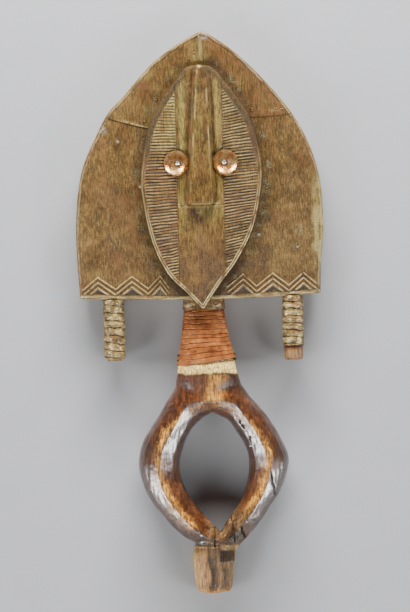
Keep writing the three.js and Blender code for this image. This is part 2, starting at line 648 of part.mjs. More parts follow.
// Tray of sheet over the board: front, folded edge and a narrow hem behind, open for face, neck and pegs
function boardSheet() {
  const outside = prism(boardOutline, SHEET_BACK_Z, SHEET_FRONT_Z, BOARD_EDGE_ROUND, 2);
  const inside = prism(inset(boardOutline, SHEET_T), SHEET_BACK_Z + SHEET_T, SHEET_FRONT_Z - SHEET_T,
    easeBehind(SHEET_T));
  const window = prism(inset(boardOutline, HEM_W), 0, WOOD_BACK_Z + LAP);
  const neckHole = neckColumn(MARGIN, -MARGIN, SHEET_T + 2 * GAP);
  const pegHoles = PEGS.map(({ x }) => peg(x, PEG_D / 2 + GAP, MARGIN, -FOLD_SAG - MARGIN));
  const ribHalf = BACK_RIB_FOOT_W / 2 + GAP;
  const ribHole = prism([[-ribHalf, -MARGIN], [ribHalf, -MARGIN], [ribHalf, HEM_W + MARGIN],
    [-ribHalf, HEM_W + MARGIN]], 0, WOOD_BACK_Z + LAP);
  return [inside, window, neckHole, faceOpening, ribHole, ...pegHoles].reduce(
    (whole, less) => whole.subtract(less), outside);
}

// One zigzag line: a thin raised strip along the turning points
function zigzagLine(shares, width, drop) {
  const turns = shares.map((share, k) => [share * width, ZIGZAG_FOOT - drop + (k % 2) * ZIGZAG_H]);
  const lower = turns.map(([x, y]) => [x, y - ZIGZAG_LINE_W]);
  const outline = [...lower, ...turns.slice().reverse()];
  return prism(outline, SHEET_FRONT_Z - SHEET_T / 2, SHEET_FRONT_Z + ZIGZAG_RISE);
}

function zigzag(shares, width) {
  const lines = [];
  for (let row = 0; row < ZIGZAG_ROWS; row += 1) lines.push(zigzagLine(shares, width, row * ZIGZAG_STEP));
  const foot = BOARD_EDGE_ROUND;
  const band = through([[-REACH, foot], [REACH, foot], [REACH, REACH], [-REACH, REACH]]);
  const board = through(inset(boardOutline, BOARD_EDGE_ROUND));
  const joined = lines.reduce((whole, line) => whole.add(line));
  return joined.intersect(band).intersect(board).subtract(faceOpening);
}

function addBoardSheets() {
  const tray = boardSheet();
  const [leftOut, leftIn] = SEAM_LEFT.map(boardPoint);
  const [rightOut, rightIn] = SEAM_RIGHT.map(boardPoint);
  const low = -REACH / 4;
  const regions = {
    crest_sheet_left: [[leftOut[0] * 2, leftOut[1] * 2 - leftIn[1]], leftIn, [CREST_SEAM_X, leftIn[1]],
      [CREST_SEAM_X, REACH], [-REACH, REACH]],
    crest_sheet_right: [[CREST_SEAM_X, leftIn[1]], rightIn, [rightOut[0] * 2, rightOut[1]], [REACH, REACH],
      [CREST_SEAM_X, REACH]],
    side_sheet_left: [[-REACH, low], [CREST_SEAM_X, low], [CREST_SEAM_X, leftIn[1]], leftIn,
      [leftOut[0] * 2, leftOut[1] * 2 - leftIn[1]]],
    side_sheet_right: [[CREST_SEAM_X, low], [REACH, low], [rightOut[0] * 2, rightOut[1]], rightIn,
      [CREST_SEAM_X, leftIn[1]]],
  };
  const bands = {
    side_sheet_left: zigzag(ZIGZAG_LEFT_SHARES, BOARD_LEFT_W),
    side_sheet_right: zigzag(ZIGZAG_RIGHT_SHARES, BOARD_RIGHT_W),
  };
  for (const [name, region] of Object.entries(regions)) {
    const whole = bands[name] ? tray.add(bands[name]) : tray;
    const cut = through(inset(region, GAP / 2));
    const finish = name.startsWith('crest') ? RED_BRASS : OLIVE_BRASS;
    add(name, pierced(whole.intersect(cut)), finish);
  }
}

// Face sheets: the hatched cheeks, the band with the nose and the plain chin, each folded down at the rim
function addFaceSheets() {
  const skirt = prism(faceOutline, WOOD_FRONT_Z + GAP, REACH);
  const hollow = through(inset(faceOutline, SHEET_T)).intersect(plainFace(SHEET_T, 0));
  const shell = (front) => pierced(skirt.intersect(front).subtract(hollow));
  const half = GAP / 2;
  const rectangle = (left, right, foot, top) => [[left, foot], [right, foot], [right, top], [left, top]];
  const regions = {
    cheek_sheet_left: rectangle(-REACH, -BAND_LEFT_W - half, -REACH, REACH),
    cheek_sheet_right: rectangle(BAND_RIGHT_W + half, REACH, -REACH, REACH),
    forehead_nose_sheet: rectangle(-BAND_LEFT_W + half, BAND_RIGHT_W - half, MOUTH_Y + half, REACH),
    chin_sheet: rectangle(-BAND_LEFT_W + half, BAND_RIGHT_W - half, -REACH, MOUTH_Y - half),
  };
  const fronts = {
    cheek_sheet_left: [hatchedFace(-1, HATCH_TILT_LEFT), OLIVE_BRASS],
    cheek_sheet_right: [hatchedFace(1, HATCH_TILT_RIGHT), RED_BRASS],
    forehead_nose_sheet: [plainFace(0, 0), OLIVE_BRASS],
    chin_sheet: [plainFace(0, 0), RED_BRASS],
  };
  for (const [name, region] of Object.entries(regions)) {
    const [front, finish] = fronts[name];
    add(name, shell(front).intersect(through(region)), finish);
  }
}

function addEyes() {
  const under = through(inset(faceOutline, -MARGIN)).intersect(plainFace(-GAP, 0));
  for (const [side, frame] of Object.entries(eyes)) {
    const dome = solid(eyeDome().applyMatrix4(frame)).subtract(under);
    add(`eye_boss_${side}`, dome, COPPER);
    const pin = nail(EYE_NAIL_HEAD_D, EYE_NAIL_HEAD_RISE, EYE_NAIL_D, EYE_NAIL_L, EYE_NAIL_SIDES);
    pin.translate(0, 0, EYE_RISE + GAP);
    add(`eye_nail_${side}`, solid(pin.applyMatrix4(frame)), STEEL);
  }
}

function addTacks() {
  for (const { name, x, y, z } of tackPlaces) {
    const pin = solid(nail(TACK_HEAD_D, TACK_HEAD_RISE, TACK_D, TACK_L, TACK_SIDES));
    add(name, pin.translate([x, y, z]), STEEL);
  }
}

// Sheet round the top of the neck, then the strip wound below it
function addNeckWrap() {
  const sheetFoot = -NECK_SHEET_L;
  const bore = neckColumn(MARGIN, sheetFoot - MARGIN, GAP);
  const wrap = neckColumn(-GAP, sheetFoot, SHEET_T + GAP).subtract(bore);
  const besideBoard = through(inset(boardOutline, -GAP));
  add('neck_sheet', wrap.subtract(faceOpening).subtract(besideBoard), OLIVE_BRASS);
  const turns = Math.round(WINDING_L / WINDING_PITCH);
  const sections = [];
  for (let k = 0; k <= 2 * turns; k += 1) {
    const down = k / (2 * turns);
    const y = sheetFoot - GAP - down * WINDING_L;
    const slant = WINDING_SLANT * down * down;
    const out = k % 2 ? WINDING_T : WINDING_T * GROOVE_SHARE;
    sections.push(neckSection(y - (slant * down) / 2, GAP + out, slant));
  }
  const winding = loft(sections).subtract(neckColumn(sheetFoot + MARGIN, -NECK_L - MARGIN, GAP));
  add('neck_winding', winding, STRIP_COPPER);
}

// Strip wound round each peg in bulging turns
function addPegWindings() {
  const bore = PEG_D / 2 + GAP;
  for (const { side, x, length, bareEnd } of PEGS) {
    const top = Math.min(lowerEdgeAt(x - PEG_D), lowerEdgeAt(x + PEG_D)) - GAP;
    const end = bareEnd - length;
    const turns = Math.round((top - end) / PEG_STRIP_PITCH);
    const profile = [[bore, end]];
    for (let k = 0; k <= 2 * turns; k += 1) {
      const out = k % 2 ? PEG_STRIP_T : PEG_STRIP_T * PEG_GROOVE_SHARE;
      profile.push([bore + out, lerp(end, top, k / (2 * turns))]);
    }
    profile.push([bore, top], [bore, end]);
    const geometry = new THREE.LatheGeometry(profile.map(([r, y]) => new THREE.Vector2(r, y)), PEG_SIDES);
    geometry.translate(x, 0, PEG_Z);
    add(`peg_winding_${side}`, solid(geometry), STRIP_BRASS);
  }
}

add('wood_core', pierced(woodCore()), WOOD);
addBoardSheets();
addFaceSheets();
addEyes();
addTacks();
addNeckWrap();
addPegWindings();

// The group stands over the middle of its own box, with its lowest point at zero
const group = new THREE.Group();
group.add(...pieces);
const box = new THREE.Box3().setFromObject(group);
const middle = box.getCenter(new THREE.Vector3());
group.position.set(-middle.x, -middle.y, -box.min.z);

export default group;
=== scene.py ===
"""Looks of a kota reliquary figure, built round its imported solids."""
import math

import bpy
import numpy as np
from mathutils import Matrix, Vector, geometry, kdtree


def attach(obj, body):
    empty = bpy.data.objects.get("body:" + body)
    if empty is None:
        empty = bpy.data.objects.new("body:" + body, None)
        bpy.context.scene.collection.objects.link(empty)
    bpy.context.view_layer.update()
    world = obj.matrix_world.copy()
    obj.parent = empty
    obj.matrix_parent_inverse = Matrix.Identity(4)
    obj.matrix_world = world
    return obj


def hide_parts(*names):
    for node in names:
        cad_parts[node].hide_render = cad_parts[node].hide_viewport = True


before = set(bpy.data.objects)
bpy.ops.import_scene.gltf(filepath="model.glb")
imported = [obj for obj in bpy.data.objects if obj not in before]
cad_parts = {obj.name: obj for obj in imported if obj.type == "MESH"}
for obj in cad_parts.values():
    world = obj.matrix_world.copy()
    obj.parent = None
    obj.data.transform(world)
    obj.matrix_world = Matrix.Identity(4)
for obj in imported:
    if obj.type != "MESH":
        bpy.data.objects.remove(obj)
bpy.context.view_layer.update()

# All sizes are millimetres in the figure's own axes: x across the face, y up to the crown, z out of it
OFFSET = np.array([2.1185, 17.5, 0.0])

# Layers
SHEET_T = 0.9
GAP = 0.3
SHEET_BACK_Z = 5.0
WOOD_BACK_Z = 6.2
WOOD_FRONT_Z = 20.0
SHEET_FRONT_Z = 22.4
RELIEF_FOOT_Z = 12.0
FACE_FOOT_Z = 21.6
RIM_Z = 33.4
PEG_Z = 13.7
EDGE_ROUND = 2.6
WALL_FOOT_Z = SHEET_BACK_Z + EDGE_ROUND
HEM_W = 9.0
WOOD_INSET = 1.2

# Board and face outlines: widths, heights and shares of them
BOARD_H = 262.5
BOARD_LEFT_W = 125.6
BOARD_RIGHT_W = 120.9
FOLD_DROP = 1.0
FOLD_SAG = 3.8
FACE_H = 243.3
CHIN_DROP = 14.6
FACE_TOP_Y = FACE_H - CHIN_DROP
FACE_LEFT_W = 59.3
FACE_RIGHT_W = 60.8
BAND_LEFT_W = 23.5
BAND_RIGHT_W = 22.3
DISH_DEPTH = 7.0
BOARD_LEFT = [[0.982, 0.01], [1, 0.25], [0.951, 0.465], [0.809, 0.625], [0.717, 0.702], [0.607, 0.756],
              [0.382, 0.875], [0.187, 0.945], [0.002, 0.995]]
BOARD_RIGHT = [[0.966, 0.01], [0.974, 0.12], [1, 0.235], [0.988, 0.403], [0.917, 0.541], [0.772, 0.676],
               [0.53, 0.816], [0.293, 0.923], [0.11, 0.984], [0.04, 1]]
FACE_LEFT = [[0.02, 0], [0.28, 0.068], [0.6, 0.152], [0.85, 0.289], [1, 0.49], [0.955, 0.63],
             [0.85, 0.752], [0.6, 0.868], [0.36, 0.945], [0.2, 0.99], [0, 1]]
FACE_RIGHT = [[0, 0], [0.27, 0.1], [0.57, 0.2], [0.85, 0.34], [1, 0.54], [0.94, 0.68], [0.82, 0.785],
              [0.6, 0.87], [0.38, 0.945], [0.21, 0.99], [0, 1]]

# Nose
NOSE_FOOT_Y = 90.0
NOSE_L = 136.0
NOSE_TOP_W = 9.5
NOSE_FOOT_W = 23.5
NOSE_TOP_RISE = 1.6
NOSE_FOOT_RISE = 7.5
NOSE_SIDE_RUN = 2.0
NOSE_FOOT_X = -0.4
NOSE_LEAN = 3.4
MOUTH_Y = 89.0

# Hatching
HATCH_PITCH = 3.0
HATCH_TOP_SHARE = 0.93
HATCH_FOOT_SHARE = 0.11
HATCH_TILT_LEFT = [-0.21, -0.04, 0.02]
HATCH_TILT_RIGHT = [0.3, 0.08, 0.22]
HATCH_DEPTH = 1.15
HATCH_FOOT_Y = -CHIN_DROP + FACE_H * HATCH_FOOT_SHARE
HATCH_TOP_Y = -CHIN_DROP + FACE_H * HATCH_TOP_SHARE
HATCH_COUNT = round((HATCH_TOP_Y - HATCH_FOOT_Y) / HATCH_PITCH)

# Seams and zigzag band, as shares of the board's widths and height or in millimetres
SEAM_LEFT = [[-1, 0.72], [-0.39, 0.637]]
SEAM_RIGHT = [[1, 0.69], [0.4, 0.672]]
CREST_SEAM_X = 2.2
CREST_TOP = [[-0.25, 4.8], [261.2, 262.5]]
SEAM_LIFTS = {"left": 0.55, "right": 0.275}
SEAM_BOW = 1.6
SEAM_REACH = (0.5, 6.5)
SEAM_LIPS = {"left": [(-75.3, 174.6), (-50.5, 166.6)], "right": [(70.9, 181.4), (80.9, 181.8)]}
FOLD_CLEAR = 5.0
NECK_CLEAR = 20.0
BORDER_DENT = [[20, 45, 75, 112], [115.0, 111.4, 110.6, 111.2]]
BORDER_CRUST = (114.5, 59.0, 3.0, 17.0)
ZIGZAG_FOOT = 8.0
ZIGZAG_H = 12.5
ZIGZAG_STEP = 5.2
ZIGZAG_ROWS = 3
ZIGZAG_LINE_W = 1.5
ZIGZAG_RISE = 0.75
ZIGZAG_LEFT = [-0.955, -0.835, -0.696, -0.565, -0.436, -0.341, -0.27]
ZIGZAG_RIGHT = [0.2, 0.33, 0.438, 0.574, 0.705, 0.825, 0.945]

# Eyes and tacks
EYE_Y = 131.0
EYES = {"left": -23.8, "right": 24.7}
EYE_D = 25.8
EYE_RISE = 6.2
EYE_SINK = 0.6
EYE_TILT_RUN = 14.0
# A nail's head, rise, shank and length
EYE_NAIL = (5.0, 1.7, 2.4, 15.6)
TACK = (3.4, 1.0, 1.5, 7.6)
TACKS = {
    "left_seam_outer": (-79.5, 180.1), "left_seam_middle": (-60.3, 173.5), "left_seam_inner": (-54.0, 175.1),
    "left_valley": (-42.7, 196.3), "crest_left": (-10.3, 233.4), "crest_middle": (-3.8, 242.3),
    "right_seam_outer": (82.2, 184.3), "right_seam_middle": (76.2, 184.8), "right_seam_inner": (52.0, 183.8),
    "right_side": (94.5, 46.2), "mouth_seam": (-19.5, 87.65),
}

# Neck, lozenge, foot and pegs
NECK_L = 75.0
NECK_W = 37.0
NECK_BACK = 2.4
NECK_FRONT_Z = 20.4
NECK_FLARE = 1.65
NECK_FLARE_CURVE = 1.8
NECK_FRONT_CURVE = 1.3
NECK_TOP_SQUARENESS = 2.6
NECK_FOOT_SQUARENESS = 1.8
NECK_SWAY = 1.35
NECK_INTO_LOZENGE = 13.0
LOZENGE_TOP_LAP = 8.0
HOLE_DROP = 43.0
LOZENGE_L = 165.0
LOZENGE_LEFT_W = 69.5
LOZENGE_RIGHT_W = 81.8
LOZENGE_T = 35.0
HOLE_L = 120.5
HOLE_LEFT_W = 27.6
HOLE_RIGHT_W = 41.4
LOZENGE_LEFT = [[-0.05, 0.06], [0.2, 0.02], [0.38, 0.02], [0.473, 0.066], [0.61, 0.17], [0.78, 0.28],
                [0.93, 0.38], [1, 0.51], [0.94, 0.64], [0.83, 0.74], [0.67, 0.83], [0.46, 0.93], [0.2, 1],
                [-0.12, 1.02]]
LOZENGE_RIGHT = [[0.05, 0.06], [0.25, 0.02], [0.42, 0.03], [0.476, 0.065], [0.597, 0.149], [0.72, 0.224],
                 [0.88, 0.353], [0.94, 0.41], [1, 0.52], [0.89, 0.69], [0.75, 0.79], [0.63, 0.88],
                 [0.45, 0.98], [0.28, 1.04], [0.1, 1.02]]
HOLE_LEFT = [[-0.23, 0], [0.34, 0.08], [0.76, 0.22], [1, 0.38], [0.97, 0.52], [0.75, 0.66], [0.31, 0.81],
             [-0.42, 1]]
HOLE_RIGHT = [[0.15, 0], [0.52, 0.07], [0.72, 0.17], [0.91, 0.28], [1, 0.44], [0.89, 0.65], [0.71, 0.77],
              [0.46, 0.89], [0.28, 1]]
ARM_SECTION = [[0, 0.3], [0.05, 0.56], [0.16, 0.75], [0.3, 0.86], [0.48, 0.99], [0.52, 0.99], [0.7, 0.87],
               [0.86, 0.74], [0.96, 0.52], [1, 0.28], [0.86, 0], [0.2, 0], [0.03, 0.1]]
FOOT_TOP_Y = -NECK_L - LOZENGE_L - LOZENGE_TOP_LAP + 2.0
FOOT_L = 51.5
FOOT_W = 44.0
FOOT_T = 30.0
FOOT_X = 4.0
FOOT_ROWS = [[0, 0.82, 1.02, 1], [0.1, 0.84, 1.02, 1], [0.27, 0.98, 0.94, 1], [0.5, 0.9, 0.82, 0.96],
             [0.92, 0.78, 0.74, 0.88], [1, 0.42, 0.56, 0.66]]
FOOT_SECTION = [[-1, 0.45], [-0.85, 0.14], [-0.5, 0], [0.7, 0], [1, 0.2], [1, 0.6], [0.3, 0.9], [-0.2, 1],
                [-0.65, 0.92], [-0.94, 0.7]]
NOTCH_X = 10.0
NOTCH_Y = FOOT_TOP_Y - 9.0
NOTCH_W = 14.5
NOTCH_L = 11.3
NOTCH_D = 14.0
RIB_L = 170.0
RIB_FOOT_W = 30.0
RIB_TOP_W = 9.0
WINDING_TOP_Y = -15.3
WINDING_L = 50.0
WINDING_SLANT = 5.6
TURN_WIDTHS = [0, 1.6, 4.3, 3.3, 4.4, 5.4, 5.0, 3.4, 4.6, 4.0, 5.0, 4.2, 4.4]
PEG_D = 14.4
PEGS = {"left": (-90.2, 64.2, 2.0), "right": (88.8, 67.0, 14.5)}
PEG_TURNS = {"left": 8, "right": 7}
PEG_END_D = 19.4
PINS = [(-26.5, -60.3), (-26.9, -65.4), (29.0, -60.1), (29.8, -65.1)]

# Mesh: steps between points, and where rows of points follow an outline, a rim, a zigzag or a stroke
OUTLINE_POINTS = 160
OUTLINE_STEP = 1.8
SHEET_STEP = 1.7
HEM_STEP = 2.4
FACE_STEP = 1.4
WOOD_STEP = 4.0
LINE_STEP = 1.2
VOXEL = 1.0
ROW_SHARE = 0.866
CLEAR_SHARE = 0.5
DOT_SHARE = 0.7
WELD_STEP = 1e-3
EDGE_ROWS = (0.18, 0.6, 1.2, 1.9, 2.6, 3.3, 3.8, 4.3, 4.8, 5.4)
RIM_ROWS = (0.3, 0.7, 1.1, 1.5, 2.05, 2.6, 3.0, 3.5, 4.2)
ZIGZAG_LINES = (-0.4, 0.2, 0.75, 1.3, 1.9, 2.8, 3.7, 4.2, 4.6, 5.0)
ROWS_A_STROKE = 8
STROKE_POINTS = 24
STROKE_ENDS = (7.0, 5.6, 4.6, 3.9, 3.4, 3.0, 2.6, 2.2, 1.8, 1.4, 1.0, 0.7, 0.35, 0.0)


def lattice(cells, seed):
    """A repeatable value from -1 to 1 for each whole-numbered place"""
    mixed = (cells[..., 0] * 374761393 + cells[..., 1] * 668265263 + cells[..., 2] * 974634777
             + seed * 362437) & 0xFFFFFFFF
    mixed = ((mixed ^ (mixed >> 13)) * 1274126177) & 0xFFFFFFFF
    return ((mixed ^ (mixed >> 16)) & 0xFFFF) / 32767.5 - 1


def noise(points, size, seed):
    """Smooth noise from -1 to 1 whose bumps are about size millimetres, one size or one for each axis"""
    points = np.asarray(points, float)
    if points.shape[1] == 2:
        points = np.column_stack([points, np.zeros(len(points))])
    places = points / np.asarray(size, float) + 100.0
    cells = np.floor(places).astype(np.int64)
    part = places - cells
    part = part * part * (3 - 2 * part)
    total = np.zeros(len(points))
    for corner in range(8):
        step = np.array([corner & 1, corner >> 1 & 1, corner >> 2])
        weight = np.prod(np.where(step, part, 1 - part), axis=1)
        total += weight * lattice(cells + step, seed)
    return total


def mottle(points, size, seed, low, high):
    """Noise as patches: 0 where it is below low, 1 where it is above high"""
    return smooth(low, high, noise(points, size, seed))


def smooth(low, high, value):
    """0 below low and 1 above high, with an eased change between"""
    part = np.clip((np.asarray(value, float) - low) / (high - low), 0, 1)
    return part * part * (3 - 2 * part)


def lerp(a, b, t):
    """From a at 0 to b at 1"""
    return a + (b - a) * t


def bump(value, middle, width):
    """1 at the middle, fading to 0 at a width on either side"""
    return 1 - smooth(0, width, np.abs(np.asarray(value, float) - middle))


def haze(away, reach):
    """1 at no distance, thinning out softly with no end"""
    return np.exp(-(away / reach) ** 2)


def spline(points, steps):
    """A smooth line through points, even steps from one to the next"""
    points = np.asarray(points, float)
    last = len(points) - 1
    at = np.linspace(0, last, steps + 1)
    low = np.minimum(at.astype(int), last - 1)
    t = (at - low)[:, None]
    p0, p1, p2, p3 = (points[np.clip(low + k, 0, last)] for k in (-1, 0, 1, 2))
    a = (p2 - p0) / 2
    b = (p3 - p1) / 2
    return (2 * p1 - 2 * p2 + a + b) * t ** 3 + (3 * p2 - 3 * p1 - 2 * a - b) * t ** 2 + a * t + p1


def loop_spline(points, steps):
    """A smooth closed line through points"""
    points = np.asarray(points, float)
    around = np.vstack([points[-2:], points, points[:3]])
    per = steps // len(points)
    whole = spline(around, per * (len(around) - 1))
    return whole[2 * per:(2 + len(points)) * per]


def resample(line, step=1.0, count=None):
    """The same line with points about a step apart, or in a count of even steps"""
    line = np.asarray(line, float)
    reach = np.r_[0, np.cumsum(np.linalg.norm(np.diff(line, axis=0), axis=1))]
    count = count or max(1, round(reach[-1] / step))
    at = np.linspace(0, reach[-1], count + 1)
    return np.column_stack([np.interp(at, reach, line[:, k]) for k in range(line.shape[1])])


def straight(start, end, step):
    """A straight line with points about a step apart"""
    return resample([start, end], step)


def closed_line(loop):
    """A loop with its first point again at its end"""
    return np.vstack([loop, loop[:1]])


def nearest(line, point):
    """Which point of a line is nearest to a given one"""
    return int(np.argmin(np.linalg.norm(line - point, axis=1)))


def shares(points, width, height, foot):
    """An outline from points that are shares of a width and of a height above its foot"""
    return spline([[across * width, foot + up * height] for across, up in points], OUTLINE_POINTS)


def distance(points, line):
    """How far each point is from a line"""
    points = np.asarray(points, float)[:, :2]
    best = np.full(len(points), np.inf)
    for start, end in zip(line[:-1], line[1:]):
        along = end - start
        t = np.clip(((points - start) @ along) / max(along @ along, 1e-9), 0, 1)
        away = points - start - t[:, None] * along
        best = np.minimum(best, (away ** 2).sum(axis=1))
    return np.sqrt(best)


def inside(points, loop):
    """Whether each point lies in a closed loop"""
    points = np.asarray(points, float)
    result = np.zeros(len(points), bool)
    for (ax, ay), (bx, by) in zip(loop, np.roll(loop, -1, axis=0)):
        if ay == by:
            continue
        crosses = (points[:, 1] < ay) != (points[:, 1] < by)
        result ^= crosses & (points[:, 0] < ax + (points[:, 1] - ay) * (bx - ax) / (by - ay))
    return result


def inset(loop, amount):
    """A counter-clockwise loop moved inwards, without the points that would cross over"""
    along = np.roll(loop, -1, axis=0) - np.roll(loop, 1, axis=0)
    along /= np.linalg.norm(along, axis=1)[:, None]
    moved = loop + amount * np.column_stack([-along[:, 1], along[:, 0]])
    return moved[distance(moved, closed_line(loop)) > abs(amount) * 0.985]


def across(line, y):
    """x of a line that climbs in y, at each y"""
    order = np.argsort(line[:, 1])
    return np.interp(y, line[order, 1], line[order, 0])


board_left = shares(BOARD_LEFT, -BOARD_LEFT_W, BOARD_H, 0)
board_right = shares(BOARD_RIGHT, BOARD_RIGHT_W, BOARD_H, 0)
face_left = shares(FACE_LEFT, -FACE_LEFT_W, FACE_H, -CHIN_DROP)
face_right = shares(FACE_RIGHT, FACE_RIGHT_W, FACE_H, -CHIN_DROP)


def lower_edge(x):
    """Height of the board's lower edge, which sags to its middle"""
    share = x / np.where(x < 0, BOARD_LEFT_W, BOARD_RIGHT_W)
    return -FOLD_DROP - FOLD_SAG * (1 - share * share)


lower_x = np.linspace(board_left[0, 0], board_right[0, 0], 120)
lower_line = np.column_stack([lower_x, lower_edge(lower_x)])
board_loop = resample(np.vstack([lower_line, board_right[1:], board_left[::-1]]), OUTLINE_STEP)[:-1]
board_closed = closed_line(board_loop)
face_loop = resample(np.vstack([face_right, face_left[::-1]]), FACE_STEP)[:-1]
face_closed = closed_line(face_loop)


def nose_at(y):
    """Middle, half width and rise of the nose at each height"""
    up = np.clip((y - NOSE_FOOT_Y) / NOSE_L, 0, 1)
    middle = NOSE_FOOT_X + NOSE_LEAN * up
    half = lerp(NOSE_FOOT_W, NOSE_TOP_W, up) / 2
    off = (y < NOSE_FOOT_Y) | (y > NOSE_FOOT_Y + NOSE_L)
    return middle, half, np.where(off, 0, lerp(NOSE_FOOT_RISE, NOSE_TOP_RISE, up))


def face_z(x, y):
    """Plain front of the face: a flat middle band, cheeks that rise to the rim, and the nose"""
    x = np.asarray(x, float)
    y = np.asarray(y, float)
    within = np.clip(y, -CHIN_DROP + 0.05, FACE_TOP_Y - 0.05)
    edge = np.abs(np.where(x < 0, across(face_left, within), across(face_right, within)))
    band = np.where(x < 0, BAND_LEFT_W, BAND_RIGHT_W)
    width = np.where(x < 0, FACE_LEFT_W, FACE_RIGHT_W)
    from_rim = edge - np.maximum(np.abs(x), band)
    dish = DISH_DEPTH / (width - band) * np.where(np.abs(x) > band, from_rim, np.maximum(0, from_rim))
    middle, half, rise = nose_at(y)
    beyond = (np.abs(x - middle) - half) / NOSE_SIDE_RUN
    return RIM_Z - dish + rise * np.clip(1 - beyond, 0, 1)


def fill(parts, step, lines=(), dots=()):
    """Triangles inside a loop of (line, kind) parts: flat points, faces and the border's edges with kinds"""
    border = np.vstack([line[:-1] for line, kind in parts])
    kinds = [kind for line, kind in parts for _ in line[:-1]]
    area = (border[:, 0] * np.roll(border[:, 1], -1) - np.roll(border[:, 0], -1) * border[:, 1]).sum()
    if area < 0:
        border = border[::-1]
        kinds = kinds[::-1]
        kinds = kinds[1:] + kinds[:1]
    count = len(border)
    points = [tuple(p) for p in border]
    edges = [(i, (i + 1) % count) for i in range(count)]
    for line in lines:
        start = len(points)
        points += [tuple(p) for p in line]
        edges += [(start + i, start + i + 1) for i in range(len(line) - 1)]
    solid_count = len(points)
    tree = kdtree.KDTree(solid_count + len(dots))
    for i, p in enumerate(points):
        tree.insert((*p, 0), i)
    kept = []
    if len(dots):
        tree.balance()
        for p in np.asarray(dots)[inside(dots, border)]:
            if tree.find((*p, 0))[2] > CLEAR_SHARE * step * DOT_SHARE:
                kept.append(tuple(p))
        for i, p in enumerate(kept):
            tree.insert((*p, 0), solid_count + i)
    tree.balance()
    points += kept
    (low_x, low_y), (high_x, high_y) = border.min(axis=0), border.max(axis=0)
    for row, y in enumerate(np.arange(low_y, high_y, step * ROW_SHARE)):
        xs = np.arange(low_x + (row % 2) * step / 2, high_x, step)
        grid = np.column_stack([xs, np.full(len(xs), y)])
        for p in grid[inside(grid, border)]:
            if tree.find((*p, 0))[2] > CLEAR_SHARE * step:
                points.append(tuple(p))
    made = geometry.delaunay_2d_cdt([Vector(p) for p in points], edges, [], 1, 1e-5)
    flat = np.array([tuple(p) for p in made[0]])
    faces = [tuple(f) for f in made[2]]
    source = {}
    for index, origins in enumerate(made[3]):
        for origin in origins:
            source[origin] = index
    ring = [(source[i], source[(i + 1) % count], kinds[i]) for i in range(count)]
    return flat, faces, ring


def joined(parts):
    """One set of points and faces from several"""
    points = []
    faces = []
    for some, some_faces in parts:
        start = sum(len(p) for p in points)
        points.append(np.asarray(some, float))
        faces += [tuple(i + start for i in f) for f in some_faces]
    return np.vstack(points), faces


def skirt(points, faces, ring, kind, levels, keep=lambda p: True):
    """Hangs walls from the border's parts of one kind, down through levels that depend on each point"""
    points = [tuple(p) for p in points]
    made = {}

    def column(index):
        if index not in made:
            x, y, z = points[index]
            names = [index]
            for out_x, out_y, level in levels(x, y, z):
                names.append(len(points))
                points.append((out_x, out_y, level))
            made[index] = names
        return made[index]

    for a, b, found in ring:
        if found != kind or not (keep(points[a]) and keep(points[b])):
            continue
        left = column(a)
        right = column(b)
        for k in range(len(left) - 1):
            faces.append((left[k], left[k + 1], right[k + 1], right[k]))
    return np.array(points), faces


def sweep(sections, closed=False, caps=True):
    """Faces through a row of sections with equal point counts"""
    rows, sides = len(sections), len(sections[0])
    faces = []
    for i in range(rows if closed else rows - 1):
        here = i * sides
        there = ((i + 1) % rows) * sides
        for j in range(sides):
            k = (j + 1) % sides
            faces.append((here + j, here + k, there + k, there + j))
    if caps and not closed:
        faces.append(tuple(range(sides))[::-1])
        faces.append(tuple((rows - 1) * sides + j for j in range(sides)))
    return np.vstack(sections), faces


def revolve(profile, sides):
    """Closed turned form: profile of (radius, z) from the axis at the top round to the axis below"""
    points = []
    faces = []
    rings = []
    for radius, z in profile:
        if radius < 1e-6:
            rings.append([len(points)])
            points.append((0, 0, z))
            continue
        rings.append(list(range(len(points), len(points) + sides)))
        for k in range(sides):
            angle = 2 * math.pi * k / sides
            points.append((radius * math.cos(angle), radius * math.sin(angle), z))
    for above, below in zip(rings[:-1], rings[1:]):
        for k in range(sides):
            j = (k + 1) % sides
            corners = ((above, k), (below, k), (below, j), (above, j))
            faces.append(tuple(dict.fromkeys(ring[i % len(ring)] for ring, i in corners)))
    return np.array(points, float), faces


def to_mesh(name, points, faces):
    """A mesh from points in millimetres, in the figure's own axes"""
    mesh = bpy.data.meshes.new(name)
    mesh.from_pydata(((np.asarray(points) + OFFSET) / 1000).tolist(), [], faces)
    mesh.validate()
    return mesh


def points_of(mesh):
    """A mesh's points in millimetres, in the figure's own axes"""
    flat = np.empty(len(mesh.vertices) * 3)
    mesh.vertices.foreach_get("co", flat)
    return flat.reshape(-1, 3) * 1000 - OFFSET


def put_points(mesh, points):
    mesh.vertices.foreach_set("co", ((points + OFFSET) / 1000).ravel())
    mesh.update()


def put_values(mesh, values):
    """Gives a mesh its zones, each with a value from 0 to 1 at every point"""
    for key, value in values.items():
        layer = mesh.attributes.new(key, "FLOAT", "POINT")
        layer.data.foreach_set("value", np.clip(value, 0, 1).astype(np.float32))


def show(name, data):
    """A new object of the scene from a mesh, a lamp or a camera"""
    obj = bpy.data.objects.new(name, data)
    bpy.context.scene.collection.objects.link(obj)
    return obj


def bake(obj):
    """Takes an object's modifiers into its mesh"""
    seen = obj.evaluated_get(bpy.context.evaluated_depsgraph_get())
    mesh = bpy.data.meshes.new_from_object(seen)
    obj.modifiers.clear()
    obj.data = mesh
    return mesh


def finish_piece(obj, nodes, slot, material, sharp=40):
    """Gives a mesh its material and smooth shading, and lets it stand for its nodes of the solids"""
    mesh = obj.data
    mesh.materials.clear()
    mesh.materials.append(material)
    mesh.shade_smooth()
    mesh.set_sharp_from_angle(angle=math.radians(sharp))
    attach(obj, "root")
    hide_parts(*nodes)


